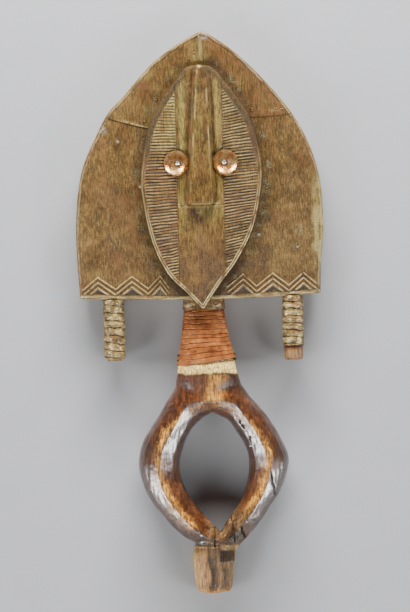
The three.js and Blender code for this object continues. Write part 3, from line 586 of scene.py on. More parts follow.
def solid_piece(name, kind, points, faces, values, slot, material, sharp):
    """A closed piece with its zones, whose kind of metal ends its name"""
    obj = show(name + "_" + kind, to_mesh(name, points, faces))
    put_values(obj.data, values)
    finish_piece(obj, [name], slot, material, sharp)


def sheet_piece(name, points, faces, values, slot, material, sharp=40):
    """A piece of sheet: its front as given, thickened inwards"""
    obj = show(name + "_metal", to_mesh(name, points, faces))
    put_values(obj.data, values)
    solid = obj.modifiers.new("thickness", "SOLIDIFY")
    solid.thickness = SHEET_T / 1000
    solid.offset = -1
    bake(obj)
    finish_piece(obj, [name], slot, material, sharp)


# Materials

def linear(code):
    """A colour given as red, green and blue from 0 to 255, as the shader takes it"""
    return tuple((c / 255 / 12.92) if c <= 10 else ((c / 255 + 0.055) / 1.055) ** 2.4 for c in code) + (1.0,)


class Finish:
    """A node material that is built up line by line"""

    def __init__(self, name):
        self.material = bpy.data.materials.new(name)
        self.material.use_nodes = True
        self.tree = self.material.node_tree
        self.shader = self.tree.nodes["Principled BSDF"]
        self.place = self.add("ShaderNodeTexCoord").outputs["Object"]

    def add(self, kind, settings=None, **inputs):
        node = self.tree.nodes.new(kind)
        for key, value in (settings or {}).items():
            setattr(node, key, value)
        for key, value in inputs.items():
            self.put(node.inputs[key.replace("_", " ")], value)
        return node

    def put(self, socket, value):
        if isinstance(value, bpy.types.NodeSocket):
            self.tree.links.new(value, socket)
        else:
            socket.default_value = value

    def math(self, operation, a, b, c=0.0):
        node = self.add("ShaderNodeMath", {"operation": operation})
        for socket, value in zip(node.inputs, (a, b, c)):
            self.put(socket, value)
        return node.outputs[0]

    def span(self, value, low, high, first=0.0, last=1.0):
        """An eased change from first at low to last at high"""
        node = self.add("ShaderNodeMapRange", {"interpolation_type": "SMOOTHSTEP"})
        for socket, item in zip(node.inputs, (value, low, high, first, last)):
            self.put(socket, item)
        return node.outputs[0]

    def mix(self, amount, first, second):
        """A colour between two, each a socket or red, green and blue from 0 to 255"""
        node = self.add("ShaderNodeMix", {"data_type": "RGBA"})
        for index, value in ((0, amount), (6, first), (7, second)):
            self.put(node.inputs[index], linear(value) if isinstance(value, tuple) else value)
        return node.outputs[2]

    def noise(self, size, detail, rough, stretch=(1, 1, 1), turn=0.0, twist=0.0):
        """Noise whose spots are about size millimetres, stretched along axes after a turn about z"""
        spot = self.add("ShaderNodeMapping", Vector=self.place, Rotation=(0, 0, turn),
                        Scale=tuple(1 / s for s in stretch)).outputs[0]
        return self.add("ShaderNodeTexNoise", Vector=spot, Scale=1000 / size, Detail=detail, Roughness=rough,
                        Distortion=twist).outputs["Fac"]

    def total(self, first, *more):
        """first plus each (noise, share) about its middle value"""
        for value, share in more:
            first = self.math("MULTIPLY_ADD", self.math("SUBTRACT", value, 0.5), share, first)
        return first

    def value(self, name, breakup=None, low=0.3, high=0.6, least=0.5):
        """A zone of the mesh, broken up by a noise"""
        zone = self.add("ShaderNodeAttribute", {"attribute_name": name}).outputs["Fac"]
        if breakup is None:
            return zone
        return self.math("MULTIPLY", zone, self.span(breakup, low, high, least, 1.0))

    def bump(self, height, depth):
        """Fine relief with a depth in millimetres"""
        return self.add("ShaderNodeBump", Height=height, Distance=depth / 1000).outputs[0]

    def done(self, **sockets):
        for key, value in sockets.items():
            self.put(self.shader.inputs[key.replace("_", " ")], value)
        return self.material


def patina(name, dark, middle, light, turn=0.0, along=7.0):
    """Old sheet metal: fine brushed strokes, blotches, and the zones that its mesh carries"""
    f = Finish(name)
    strokes = f.noise(1.25, 2, 0.55, (1, along, 1), turn, 0.3)
    hairs = f.noise(0.7, 1, 0.5, (1, along * 0.5, 1), turn)
    blotch = f.noise(22, 4, 0.62)
    patch = f.noise(6, 3, 0.6, (1, 1.8, 1), turn)
    speck = f.noise(1.0, 3, 0.65)
    tone = f.total(strokes, (hairs, 0.5), (blotch, 0.9), (speck, 0.35), (patch, 0.5))
    colour = f.mix(f.span(tone, 0.24, 0.52), dark, middle)
    colour = f.mix(f.span(tone, 0.48, 0.8), colour, light)
    warm = f.math("MULTIPLY", f.span(patch, 0.48, 0.7), f.span(hairs, 0.4, 0.6, 0.15, 0.6))
    colour = f.mix(warm, colour, f.mix(strokes, (102, 66, 40), (152, 108, 66)))
    cool = f.math("MULTIPLY", f.span(patch, 0.46, 0.3), f.span(speck, 0.45, 0.62, 0.0, 0.45))
    colour = f.mix(cool, colour, (104, 98, 70))
    red = f.value("red", f.total(patch, (strokes, 0.6)), 0.32, 0.62, 0.15)
    colour = f.mix(red, colour, f.mix(strokes, (86, 55, 34), (148, 98, 60)))
    yellow = f.value("yellow", f.total(speck, (strokes, 0.8)), 0.3, 0.62, 0.35)
    colour = f.mix(yellow, colour, f.mix(strokes, (134, 114, 52), (212, 194, 108)))
    # The dark zone: dirt, and painted shade where a mesh marks it
    grime = f.value("grime", speck, 0.62, 0.36, 0.7)
    colour = f.mix(grime, colour, f.mix(f.span(speck, 0.35, 0.7), (34, 27, 19), (84, 68, 48)))
    crust = f.value("crust", speck, 0.46, 0.6, 0.0)
    colour = f.mix(crust, colour, f.mix(blotch, (96, 112, 88), (168, 166, 128)))
    wear = f.value("wear", speck, 0.34, 0.55, 0.5)
    colour = f.mix(wear, colour, f.mix(speck, (172, 145, 82), (232, 214, 148)))
    pale = f.value("pale", speck, 0.36, 0.52, 0.4)
    colour = f.mix(pale, colour, (226, 220, 208))
    colour = f.mix(f.span(speck, 0.69, 0.77, 0.0, 0.55), colour, (222, 200, 146))
    dull = f.math("MAXIMUM", f.math("MAXIMUM", grime, crust), pale)
    rough = f.math("MULTIPLY_ADD", blotch, 0.25, 0.38)
    rough = f.math("MULTIPLY_ADD", wear, -0.12, f.math("MULTIPLY_ADD", dull, 0.25, rough))
    height = f.total(strokes, (hairs, 0.4), (speck, 0.6))
    return f.done(Base_Color=colour, Metallic=f.math("MULTIPLY_ADD", dull, -0.24, 0.4), Roughness=rough,
                  Normal=f.bump(height, 0.2))


def copper(name):
    """Polished copper of the eyes, with dark specks and pale worn places"""
    f = Finish(name)
    blotch = f.noise(6, 4, 0.6)
    speck = f.noise(1.3, 4, 0.7)
    colour = f.mix(f.span(blotch, 0.35, 0.65), (206, 128, 68), (255, 204, 134))
    colour = f.mix(f.span(speck, 0.64, 0.78), colour, (104, 60, 36))
    colour = f.mix(f.value("wear", speck, 0.35, 0.6, 0.0), colour, (255, 226, 182))
    colour = f.mix(f.value("grime"), colour, (58, 38, 28))
    rough = f.math("MULTIPLY_ADD", speck, 0.26, 0.14)
    return f.done(Base_Color=colour, Metallic=0.92, Roughness=rough, Normal=f.bump(speck, 0.25))


def heads(name, dark, light, dull):
    """Nail heads: worn bright with dark scratches"""
    f = Finish(name)
    speck = f.noise(0.9, 3, 0.6)
    colour = f.mix(f.span(speck, 0.35, 0.6), dark, light)
    colour = f.mix(f.value("grime"), colour, (44, 36, 27))
    rough = f.math("MULTIPLY_ADD", speck, 0.3, dull)
    return f.done(Base_Color=colour, Metallic=0.8, Roughness=rough, Normal=f.bump(speck, 0.2))


def strip(name, dark, middle, light, turn, metallic, streak):
    """Wound metal strip: strokes along the turns, creases, dark gaps of painted shade, and pale places of
    wear and painted highlight
    """
    f = Finish(name)
    strokes = f.noise(1.0, 2, 0.6, (6, 1, 1), turn)
    blotch = f.noise(7, 4, 0.6)
    speck = f.noise(1.1, 3, 0.65)
    tone = f.total(blotch, (strokes, streak), (speck, 0.4))
    colour = f.mix(f.span(tone, 0.28, 0.5), dark, middle)
    colour = f.mix(f.span(tone, 0.52, 0.8), colour, light)
    colour = f.mix(f.value("red", speck, 0.3, 0.55, 0.4), colour, (136, 72, 48))
    colour = f.mix(f.value("wear", speck, 0.32, 0.56, 0.35), colour, (228, 208, 146))
    colour = f.mix(f.value("grime", speck, 0.7, 0.4, 0.7), colour, (46, 34, 24))
    rough = f.math("MULTIPLY_ADD", speck, 0.25, 0.34)
    return f.done(Base_Color=colour, Metallic=metallic, Roughness=rough,
                  Normal=f.bump(f.total(strokes, (speck, 0.7)), 0.35))


def wood(name):
    """Carved hardwood: dark polished skin, orange-brown and golden worn places, bare wood and dirt, with
    painted shade in the dark skin and dirt zones
    """
    f = Finish(name)
    grain = f.noise(1.7, 4, 0.62, (1, 10, 1), 0.0, 0.3)
    fibre = f.noise(0.8, 2, 0.6, (1, 14, 1))
    blotch = f.noise(12, 4, 0.65)
    chips = f.noise(3.2, 4, 0.68)
    speck = f.noise(1.3, 3, 0.65)
    tone = f.total(blotch, (grain, 0.8), (speck, 0.4), (chips, 0.4))
    colour = f.mix(f.span(tone, 0.3, 0.54), (30, 18, 11), (68, 40, 24))
    colour = f.mix(f.span(tone, 0.54, 0.8), colour, (112, 73, 43))
    broken = f.total(chips, (grain, 0.8))
    red = f.value("red", broken, 0.3, 0.62, 0.2)
    colour = f.mix(red, colour, f.mix(grain, (70, 33, 15), (138, 76, 36)))
    raw = f.value("yellow", broken, 0.26, 0.5, 0.4)
    split = f.span(f.total(grain, (fibre, 0.8)), 0.24, 0.7)
    colour = f.mix(raw, colour, f.mix(split, (104, 74, 46), (196, 152, 100)))
    gold = f.value("wear", broken, 0.3, 0.6, 0.25)
    colour = f.mix(gold, colour, f.mix(f.span(grain, 0.3, 0.58), (134, 80, 32), (240, 172, 78)))
    # The dark skin, which also carries painted shade on the arms' outer sides
    skin_and_shade = f.value("crust", broken, 0.66, 0.36, 0.3)
    colour = f.mix(skin_and_shade, colour, f.mix(speck, (28, 18, 13), (62, 40, 27)))
    bare = f.value("pale", speck, 0.28, 0.48, 0.7)
    threads = f.span(f.total(fibre, (speck, 0.9)), 0.36, 0.6)
    colour = f.mix(bare, colour, f.mix(threads, (166, 127, 60), (244, 214, 134)))
    colour = f.mix(f.value("grime", speck, 0.7, 0.4, 0.75), colour, (27, 18, 13))
    matt = f.math("MAXIMUM", bare, raw)
    rough = f.math("MULTIPLY_ADD", matt, 0.4, f.math("MULTIPLY_ADD", speck, 0.25, 0.22))
    height = f.total(grain, (fibre, 0.6), (speck, 0.6), (chips, 0.4))
    return f.done(Base_Color=colour, Roughness=rough, Normal=f.bump(height, 0.5), Specular_IOR_Level=0.25,
                  Coat_Weight=f.span(matt, 0.0, 0.6, 0.8, 0.0), Coat_Roughness=0.29)


OLIVE = patina("olive_brass", (78, 57, 31), (110, 84, 44), (156, 124, 68), along=5.0)
RED_OLIVE = patina("red_brass", (78, 57, 31), (110, 84, 44), (156, 124, 70), turn=0.62)
FACE_BRASS = patina("face_brass", (68, 48, 25), (108, 82, 38), (160, 130, 64))
COPPER = copper("polished_copper")
STEEL = heads("nail_steel", (122, 116, 108), (240, 238, 234), 0.2)
TACK_METAL = heads("tack_metal", (86, 62, 36), (168, 136, 88), 0.5)
COPPER_STRIP = strip("copper_strip", (104, 53, 24), (156, 90, 43), (204, 134, 70), 0.04, 0.35, 0.35)
BRASS_STRIP = strip("brass_strip", (70, 53, 28), (134, 112, 64), (204, 182, 118), 0.0, 0.3, 0.8)
WOOD = wood("carved_wood")


def no_values(count, **given):
    """The zones of a mesh, at 0 but for those that are given"""
    values = {key: np.zeros(count) for key in ("red", "yellow", "grime", "crust", "wear", "pale")}
    values.update(given)
    return values


def longer(values, count, level):
    """The zones with more points at their end, all at one level"""
    return {key: np.r_[value, np.full(count, level)] for key, value in values.items()}


# Board sheets

def zigzag_turns(side):
    """Turning points of the zigzag's upper line"""
    width = BOARD_LEFT_W if side < 0 else BOARD_RIGHT_W
    found = ZIGZAG_LEFT if side < 0 else ZIGZAG_RIGHT
    return np.array([[s * width, ZIGZAG_FOOT + (k % 2) * ZIGZAG_H] for k, s in enumerate(found)])


def zigzag_drop(x, y):
    """How far each point lies below the upper zigzag line, or far above it beyond the band's ends"""
    drop = np.full(len(x), -99.0)
    for side in (-1, 1):
        turns = zigzag_turns(side)
        here = (x >= turns[:, 0].min()) & (x <= turns[:, 0].max())
        drop[here] = np.interp(x[here], turns[:, 0], turns[:, 1]) - y[here]
    return drop


def zigzag_rise(drop):
    """Raised lines of the zigzag band"""
    rise = np.zeros(len(drop))
    for row in range(ZIGZAG_ROWS):
        away = np.abs(drop - row * ZIGZAG_STEP - ZIGZAG_LINE_W / 2)
        rise = np.maximum(rise, np.clip((1.15 - away) / 0.7, 0, 1) * ZIGZAG_RISE)
    return rise


def zigzag_lines(side):
    """Lines of the mesh along the zigzag, in their stretches above the folded edge"""
    turns = zigzag_turns(side)
    stretches = []
    for row in range(ZIGZAG_ROWS):
        for down in ZIGZAG_LINES:
            line = resample(turns - [0, row * ZIGZAG_STEP + down], LINE_STEP)
            above = line[:, 1] > lower_edge(line[:, 0]) + FOLD_CLEAR
            parts = np.split(line, np.flatnonzero(np.diff(above)) + 1)
            stretches += [part for part in parts[0 if above[0] else 1::2] if len(part) > 1]
    return stretches


def spot(flat, x, y, reach):
    """A soft round spot"""
    return np.exp(-((flat[:, 0] - x) ** 2 + (flat[:, 1] - y) ** 2) / reach ** 2)


SPOTS = [
    ("pale", -96.5, 166.0, 2.6), ("pale", -88.8, 154.8, 0.9), ("pale", -81.8, 154.6, 0.9),
    ("pale", 56.9, 58.2, 0.9), ("pale", -60.0, 109.0, 1.2), ("pale", 6.0, 257.5, 2.8),
    ("crust", 103.3, 77.1, 1.8), ("crust", 102.0, 24.1, 2.0), ("crust", 97.0, 62.2, 4.5),
    ("crust", 95.1, 46.3, 3.4), ("grime", -9.9, 233.9, 1.5), ("grime", -25.6, -4.0, 1.8),
    ("grime", 24.5, -4.0, 2.6), ("red", -56.0, 208.0, 12.0), ("red", -86.0, 40.0, 9.0),
    ("red", -66.0, 54.0, 8.0), ("wear", 117.5, 32.0, 1.5),
]


def edge_fall(to_edge):
    """How far the rounded edge of the board has fallen away at a distance from its outline"""
    short = np.clip(EDGE_ROUND - to_edge, 0, EDGE_ROUND)
    return EDGE_ROUND - np.sqrt(np.maximum(EDGE_ROUND ** 2 - short ** 2, 0))


def crest_relief(flat, z, values, patches):
    """Adds the rib between the two crest sheets and the worn lips of their lower seams"""
    x, y = flat.T
    right = smooth(0, 8, x - CREST_SEAM_X)
    values["red"] += 0.15 + 0.4 * right * smooth(-0.9, 0.1, patches)
    values["yellow"] += 0.35 * (1 - right) * mottle(flat, 13, 13, -0.2, 0.6)
    on_rib = bump(x, CREST_SEAM_X, 2.2) * smooth(FACE_TOP_Y + 3, FACE_TOP_Y + 9, y)
    z += on_rib * (0.5 + 0.35 * np.sin(y * 2.1))
    values["wear"] += 0.55 * on_rib * mottle(flat, 3, 14, -0.4, 0.4)
    beside = bump(np.abs(x - CREST_SEAM_X), 3.4, 1.6)
    values["grime"] += 0.7 * beside * smooth(FACE_TOP_Y, FACE_TOP_Y + 8, y)
    left, right = (bump(distance(flat, np.array(lip)), 0, 1.4) for lip in SEAM_LIPS.values())
    values["wear"] += 0.8 * left + 0.2 * right


def side_relief(flat, z, values, patches):
    """Adds the zigzag band, the folded lower edge, the pale right border and painted shadow below the seams
    """
    x, y = flat.T
    values["red"] += 0.4 * smooth(0.0, 0.6, patches)
    below = zigzag_drop(x, y)
    z += zigzag_rise(below)
    fold = y - lower_edge(x)
    row = below - ZIGZAG_STEP * np.clip(np.floor((below + 0.5) / ZIGZAG_STEP), 0, ZIGZAG_ROWS - 1)
    on = (below > -0.5) * smooth(4.4, 5.0, fold)
    third = bump(x, -43, 14)
    under = below > (ZIGZAG_ROWS - 1) * ZIGZAG_STEP
    triangle = smooth(2.3, 3.1, row) * smooth(4.6, 5.6, fold) * under
    z -= 0.6 * triangle
    chips = mottle(flat, (3, 2, 1), 15, -0.9, -0.1)
    values["wear"] += 0.95 * bump(row, 0.75, 1.0) * on * chips
    values["red"] += 0.75 * bump(row, 2.8, 1.3) * on
    # Painted shadow: a dark line just above each raised zigzag line
    values["grime"] += 0.75 * bump(row, 4.6, 0.9) * on + 1.2 * triangle * (1 - 0.7 * third)
    values["crust"] += 0.4 * triangle * third
    flap = 1 - smooth(3.2, 4.0, fold)
    z += 0.25 * flap
    values["wear"] += flap * (0.15 + 0.6 * mottle(flat, (9, 0.9, 1), 11, -0.2, 0.5))
    values["red"] += 0.35 * flap * mottle(flat, (8, 1.3, 1), 12, 0.0, 0.6)
    dirt = 0.35 * flap * mottle(flat, (6, 1.4, 1), 16, 0.1, 0.7)
    values["grime"] += 0.9 * bump(fold, 4.6, 0.9) + dirt
    border = smooth(109, 112.5, x + 1.6 * noise(flat, 9, 17)) * smooth(22, 32, y) * smooth(122, 96, y)
    values["wear"] += 0.4 * border * mottle(flat, (3, 9, 3), 18, -0.5, 0.3)
    values["yellow"] += 0.4 * border
    crust_x, crust_y, crust_w, crust_l = BORDER_CRUST
    values["crust"] += 0.55 * np.exp(-((x - crust_x) / crust_w) ** 2 - ((y - crust_y) / crust_l) ** 2)
    dent = bump(x, np.interp(y, *BORDER_DENT), 1.0)
    values["grime"] += 0.6 * dent * smooth(18, 30, y) * smooth(118, 100, y)
    # Painted shadow on the side sheets just below the seams, where the crest sheets stand proud
    for side, amount in (("left", 0.5), ("right", 0.15)):
        values["grime"] += amount * (1 - smooth(0.4, 2.4, distance(flat, seams[side])))


def board_front(flat, crest):
    """Height and zones of the front of the board's sheets"""
    x, y = flat.T
    to_edge = distance(flat, board_closed)
    to_face = distance(flat, face_closed)
    arch = smooth(2, 12, y)
    loose = smooth(2, 9, to_edge)
    z = SHEET_FRONT_Z - edge_fall(to_edge)
    z += loose * (0.38 * noise(flat, 26, 1) + 0.16 * noise(flat, 8, 2))
    ripple = to_edge + 0.5 * noise(flat, 14, 9) + 0.3 * noise(flat, 4, 10)
    z += 0.4 * arch * bump(ripple, 2.3, 0.9) - 0.3 * arch * bump(ripple, 3.9, 1.2)
    valley = 1 - smooth(0, 1, to_face / (9 + 4 * noise(flat, 26, 3)))
    z -= 1.2 * valley * loose
    values = no_values(len(flat))
    patches = noise(flat, (12, 26, 12), 7)
    relief = crest_relief if crest else side_relief
    relief(flat, z, values, patches)
    values["wear"] += arch * 0.6 * bump(ripple, 1.8, 0.8) * mottle(flat, 11, 4, -0.8, 0.1)
    values["grime"] += 0.45 * arch * bump(ripple, 3.5, 1.1)
    ragged = mottle(flat, 8, 5, -0.7, 0.5)
    # A painted shadow line at the foot of the face's wall, and a ragged darker band along the valley round it
    values["grime"] += 0.75 * bump(to_face, 0.6, 2.2) + 0.6 * bump(to_face, 5, 9) * ragged
    more = 0.55 + 0.45 * smooth(0, 40, x)
    values["crust"] += more * 0.8 * bump(to_face, 6, 7) * mottle(flat, 4.5, 6, 0.1, 0.5)
    # Darker towards the board's lower edge and towards its right, with soft patches
    lower = 0.16 * smooth(170, 20, y)
    values["grime"] += 0.2 * mottle(flat, 15, 8, 0.3, 0.8) + lower + 0.1 * smooth(-40, 80, x)
    torn = 0.9 * mottle(flat, 1.7, 20, -0.5, 0.2)
    for zone, spot_x, spot_y, reach in SPOTS:
        values[zone] += torn * spot(flat, spot_x, spot_y, reach)
    return z, values


def wall(x, y, z):
    """Straight down from the rounded front edge to the start of the rounded back edge"""
    return [(x, y, WALL_FOOT_Z)]


def seam_ends(ends):
    """Where a seam meets the board's edge and the face's edge"""
    start, end = [(a * (BOARD_LEFT_W if a < 0 else BOARD_RIGHT_W), u * BOARD_H) for a, u in ends]
    line = straight(start, end, 0.05)
    middle = line[inside(line, board_loop) & ~inside(line, inset(face_loop, -GAP))]
    return np.array([middle[0], middle[-1]])


def seam_lift(flat, side):
    """How far the crest sheets stand proud of the side sheets beside a seam"""
    return SEAM_LIFTS[side] * (1 - smooth(*SEAM_REACH, distance(flat, seams[side])))


def cut_loop(loop, start, end):
    """The counter-clockwise part of a loop from one place on it to another"""
    first = nearest(loop, start)
    last = nearest(loop, end)
    if last <= first:
        last += len(loop)
    part = np.array([loop[k % len(loop)] for k in range(first + 1, last)])
    return np.vstack([[start], part, [end]])


face_gap = inset(face_loop, -GAP)
edge_rows = np.vstack([inset(board_loop, d) for d in EDGE_ROWS])
seams = {"left": seam_ends(SEAM_LEFT), "right": seam_ends(SEAM_RIGHT)}
apex = np.array([CREST_SEAM_X, np.interp(CREST_SEAM_X, *CREST_TOP)])
face_apex = np.array([CREST_SEAM_X, FACE_TOP_Y + GAP])


def bowed(start, end, amount):
    """A line that bows to its right by an amount"""
    line = straight(start, end, SHEET_STEP)
    along = (end - start) / np.linalg.norm(end - start)
    share = np.linspace(0, 1, len(line))
    return line + np.outer(np.sin(np.pi * share) ** 0.5 * amount, [along[1], -along[0]])


def board_sheet(name, parts):
    """One sheet of the board: its front within a border of parts, its wall and its folded back edge"""
    crest = name.startswith("crest")
    slot, material = ("red_brass", RED_OLIVE) if crest else ("olive_brass", OLIVE)
    lines = () if crest else zigzag_lines(-1 if name.endswith("left") else 1)
    flat, faces, ring = fill(parts, SHEET_STEP, lines, edge_rows)
    z, values = board_front(flat, crest)
    if crest:
        free = smooth(0, 4, distance(flat, board_closed))
        for side in seams:
            z += seam_lift(flat, side) * free
        rib = bump(flat[:, 0], CREST_SEAM_X, 2.6)
        z += 1.3 * rib * smooth(FACE_TOP_Y, FACE_TOP_Y + 6, flat[:, 1])
    points = np.column_stack([flat, z])
    points, faces = skirt(points, faces, ring, "edge", wall, lambda p: not blocked(p[0], p[1]))
    values = longer(values, len(points) - len(flat), 0.1)
    hem_points, hem_faces = hem(next(line for line, kind in parts if kind == "edge"))
    values = longer(values, len(hem_points), 0.15)
    points, faces, values = weld(*joined([(points, faces), (hem_points, hem_faces)]), values)
    sheet_piece(name, points, faces, values, slot, material)


def weld(points, faces, values):
    """Joins points that lie in the same place"""
    keys = np.round(points / WELD_STEP).astype(np.int64)
    _, first, where = np.unique(keys, axis=0, return_index=True, return_inverse=True)
    where = where.ravel()
    faces = [tuple(dict.fromkeys(int(where[i]) for i in f)) for f in faces]
    return points[first], [f for f in faces if len(f) > 2], {key: v[first] for key, v in values.items()}


def blocked(x, y):
    """Places on the lower edge where the neck and the pegs come through"""
    if y > FOLD_CLEAR:
        return False
    return abs(x) < NECK_CLEAR or any(abs(x - peg[0]) < PEG_D / 2 + 1 for peg in PEGS.values())


def hem(stretch):
    """The folded back edge of a sheet, under one stretch of the board's outline"""
    stretch = np.array([p for p in stretch if not (p[1] < FOLD_CLEAR and abs(p[0]) < NECK_CLEAR)])
    inner = inset(board_loop, HEM_W)
    fine = resample(closed_line(inner), OUTLINE_STEP)
    start = fine[nearest(fine, stretch[0])]
    end = fine[nearest(fine, stretch[-1])]
    border = [(stretch, "edge"), (straight(stretch[-1], end, OUTLINE_STEP), "cut"),
              (cut_loop(inner, start, end)[::-1], "cut"),
              (straight(start, stretch[0], OUTLINE_STEP), "cut")]
    flat, faces, _ = fill(border, HEM_STEP, dots=edge_rows)
    z = SHEET_BACK_Z + edge_fall(distance(flat, board_closed))
    return np.column_stack([flat, z]), [f[::-1] for f in faces]


def build_board():
    left_out, left_in = seams["left"]
    right_out, right_in = seams["right"]
    low = float(lower_edge(np.array(0.0)))
    touch_left = np.array([float(across(face_left, low)) - GAP, low])
    touch_right = np.array([float(across(face_right, low)) + GAP, low])
    median = straight(face_apex, apex, SHEET_STEP)

    def edge(start, end):
        return cut_loop(board_loop, start, end), "edge"

    def beside_face(start, end):
        return cut_loop(face_gap, start, end)[::-1], "face"

    board_sheet("crest_sheet_left", [(median, "seam"), edge(apex, left_out),
                                     (bowed(left_in, left_out, -SEAM_BOW)[::-1], "seam"),
                                     beside_face(face_apex, left_in)])
    board_sheet("crest_sheet_right", [edge(right_out, apex), (median[::-1], "seam"),
                                      beside_face(right_in, face_apex),
                                      (bowed(right_in, right_out, SEAM_BOW), "seam")])
    board_sheet("side_sheet_left", [edge(left_out, touch_left), beside_face(left_in, touch_left),
                                    (straight(left_in, left_out, SHEET_STEP), "seam")])
    board_sheet("side_sheet_right", [edge(touch_right, right_out),
                                     (straight(right_in, right_out, SHEET_STEP)[::-1], "seam"),
                                     beside_face(touch_right, right_in)])


# Face sheets

def high_up(points):
    """0 on the lower face and 1 on its top, where the rim is a broad slope painted dark as shade"""
    return smooth(112, 162, points[:, 1])


def rim_shape(points, z):
    """Rounds the face's rim over and adds its two lines"""
    to_rim = distance(points, face_closed)
    high = high_up(points)
    turn = 1.6 + 4.8 * high
    short = np.clip(turn - to_rim, 0, turn) / turn
    fall = (1.6 + 7.0 * high) * (1 - np.sqrt(np.maximum(1 - short ** 2, 0)))
    beads = 0.4 * (1 - high) * (bump(to_rim, 1.1, 0.8) + bump(to_rim, 3.0, 0.8))
    return z - fall + beads, to_rim


def rim_values(points, to_rim, values):
    """Bright lines round the lower rim, and painted shade on the slope of the upper one"""
    x, y = points.T
    low = 1 - smooth(66, 96, y - 26 * smooth(-10, 10, x))
    high = high_up(points)
    chips = mottle(points, 5, 19, -0.9, 0.0)
    lines = low * (bump(to_rim, 1.0, 0.75) + 0.9 * bump(to_rim, 3.0, 0.75))
    faint = 0.35 * (1 - low) * (1 - high) * bump(to_rim, 1.4, 1.0)
    between = 0.65 * low * bump(to_rim, 2.05, 0.5)
    values["wear"] = values["wear"] + chips * (lines + faint)
    values["grime"] = values["grime"] + between + 0.3 * low * bump(to_rim, 4.2, 0.9)
    # Painted shade over the broad slope of the upper rim
    values["grime"] = values["grime"] + 1.1 * high * smooth(8.0, 4.5, to_rim) * (0.6 + 0.4 * chips)


def eye_recess(points):
    """How far the sheets dip round each eye, so that its rim stands free"""
    dip = np.zeros(len(points))
    for eye_x in EYES.values():
        out = np.hypot(points[:, 0] - eye_x, points[:, 1] - EYE_Y)
        inner = smooth(6, -10, (points[:, 0] - eye_x) * math.copysign(1, eye_x))
        dip = np.maximum(dip, (0.5 + 0.9 * inner) * smooth(EYE_D / 2 + 4.5, EYE_D / 2 - 0.5, out))
    return dip


def face_wall(x, y, z):
    """Straight down from the rim of the face to the board"""
    return [(x, y, z - (z - FACE_FOOT_Z) * share) for share in (0.35, 0.7)] + [(x, y, FACE_FOOT_Z)]


def cheek_rows(line, band, width, tilt):
    """Rows of points along the hatching: the phase, height, slope and length of each"""

    def edge_at(y):
        return np.abs(across(line, np.clip(y, -CHIN_DROP + 0.01, FACE_TOP_Y - 0.01)))

    def phase_at(y):
        return (y - HATCH_FOOT_Y) / (HATCH_TOP_Y - HATCH_FOOT_Y) * HATCH_COUNT

    heights = np.linspace(-CHIN_DROP, FACE_TOP_Y, 4000)
    wide = heights[edge_at(heights) > band]
    low, high = wide[0] + 0.05, wide[-1] - 0.05
    first = math.floor(phase_at(low) * ROWS_A_STROKE)
    last = math.ceil(phase_at(high) * ROWS_A_STROKE)
    phase = np.arange(first, last + 1) / ROWS_A_STROKE
    levels = lerp(HATCH_FOOT_Y, HATCH_TOP_Y, phase / HATCH_COUNT)
    phase = np.r_[phase_at(low), phase[(levels > low) & (levels < high)], phase_at(high)]
    levels = lerp(HATCH_FOOT_Y, HATCH_TOP_Y, phase / HATCH_COUNT)
    slope = np.interp(np.clip(phase / HATCH_COUNT, 0, 1), np.linspace(0, 1, len(tilt)), tilt)
    near = np.zeros(len(levels))
    far = np.full(len(levels), width - band + 3.0)
    for _ in range(40):
        half = (near + far) / 2
        within = edge_at(levels + slope * half) > band + half
        near = np.where(within, half, near)
        far = np.where(within, far, half)
    return phase, levels, slope, near


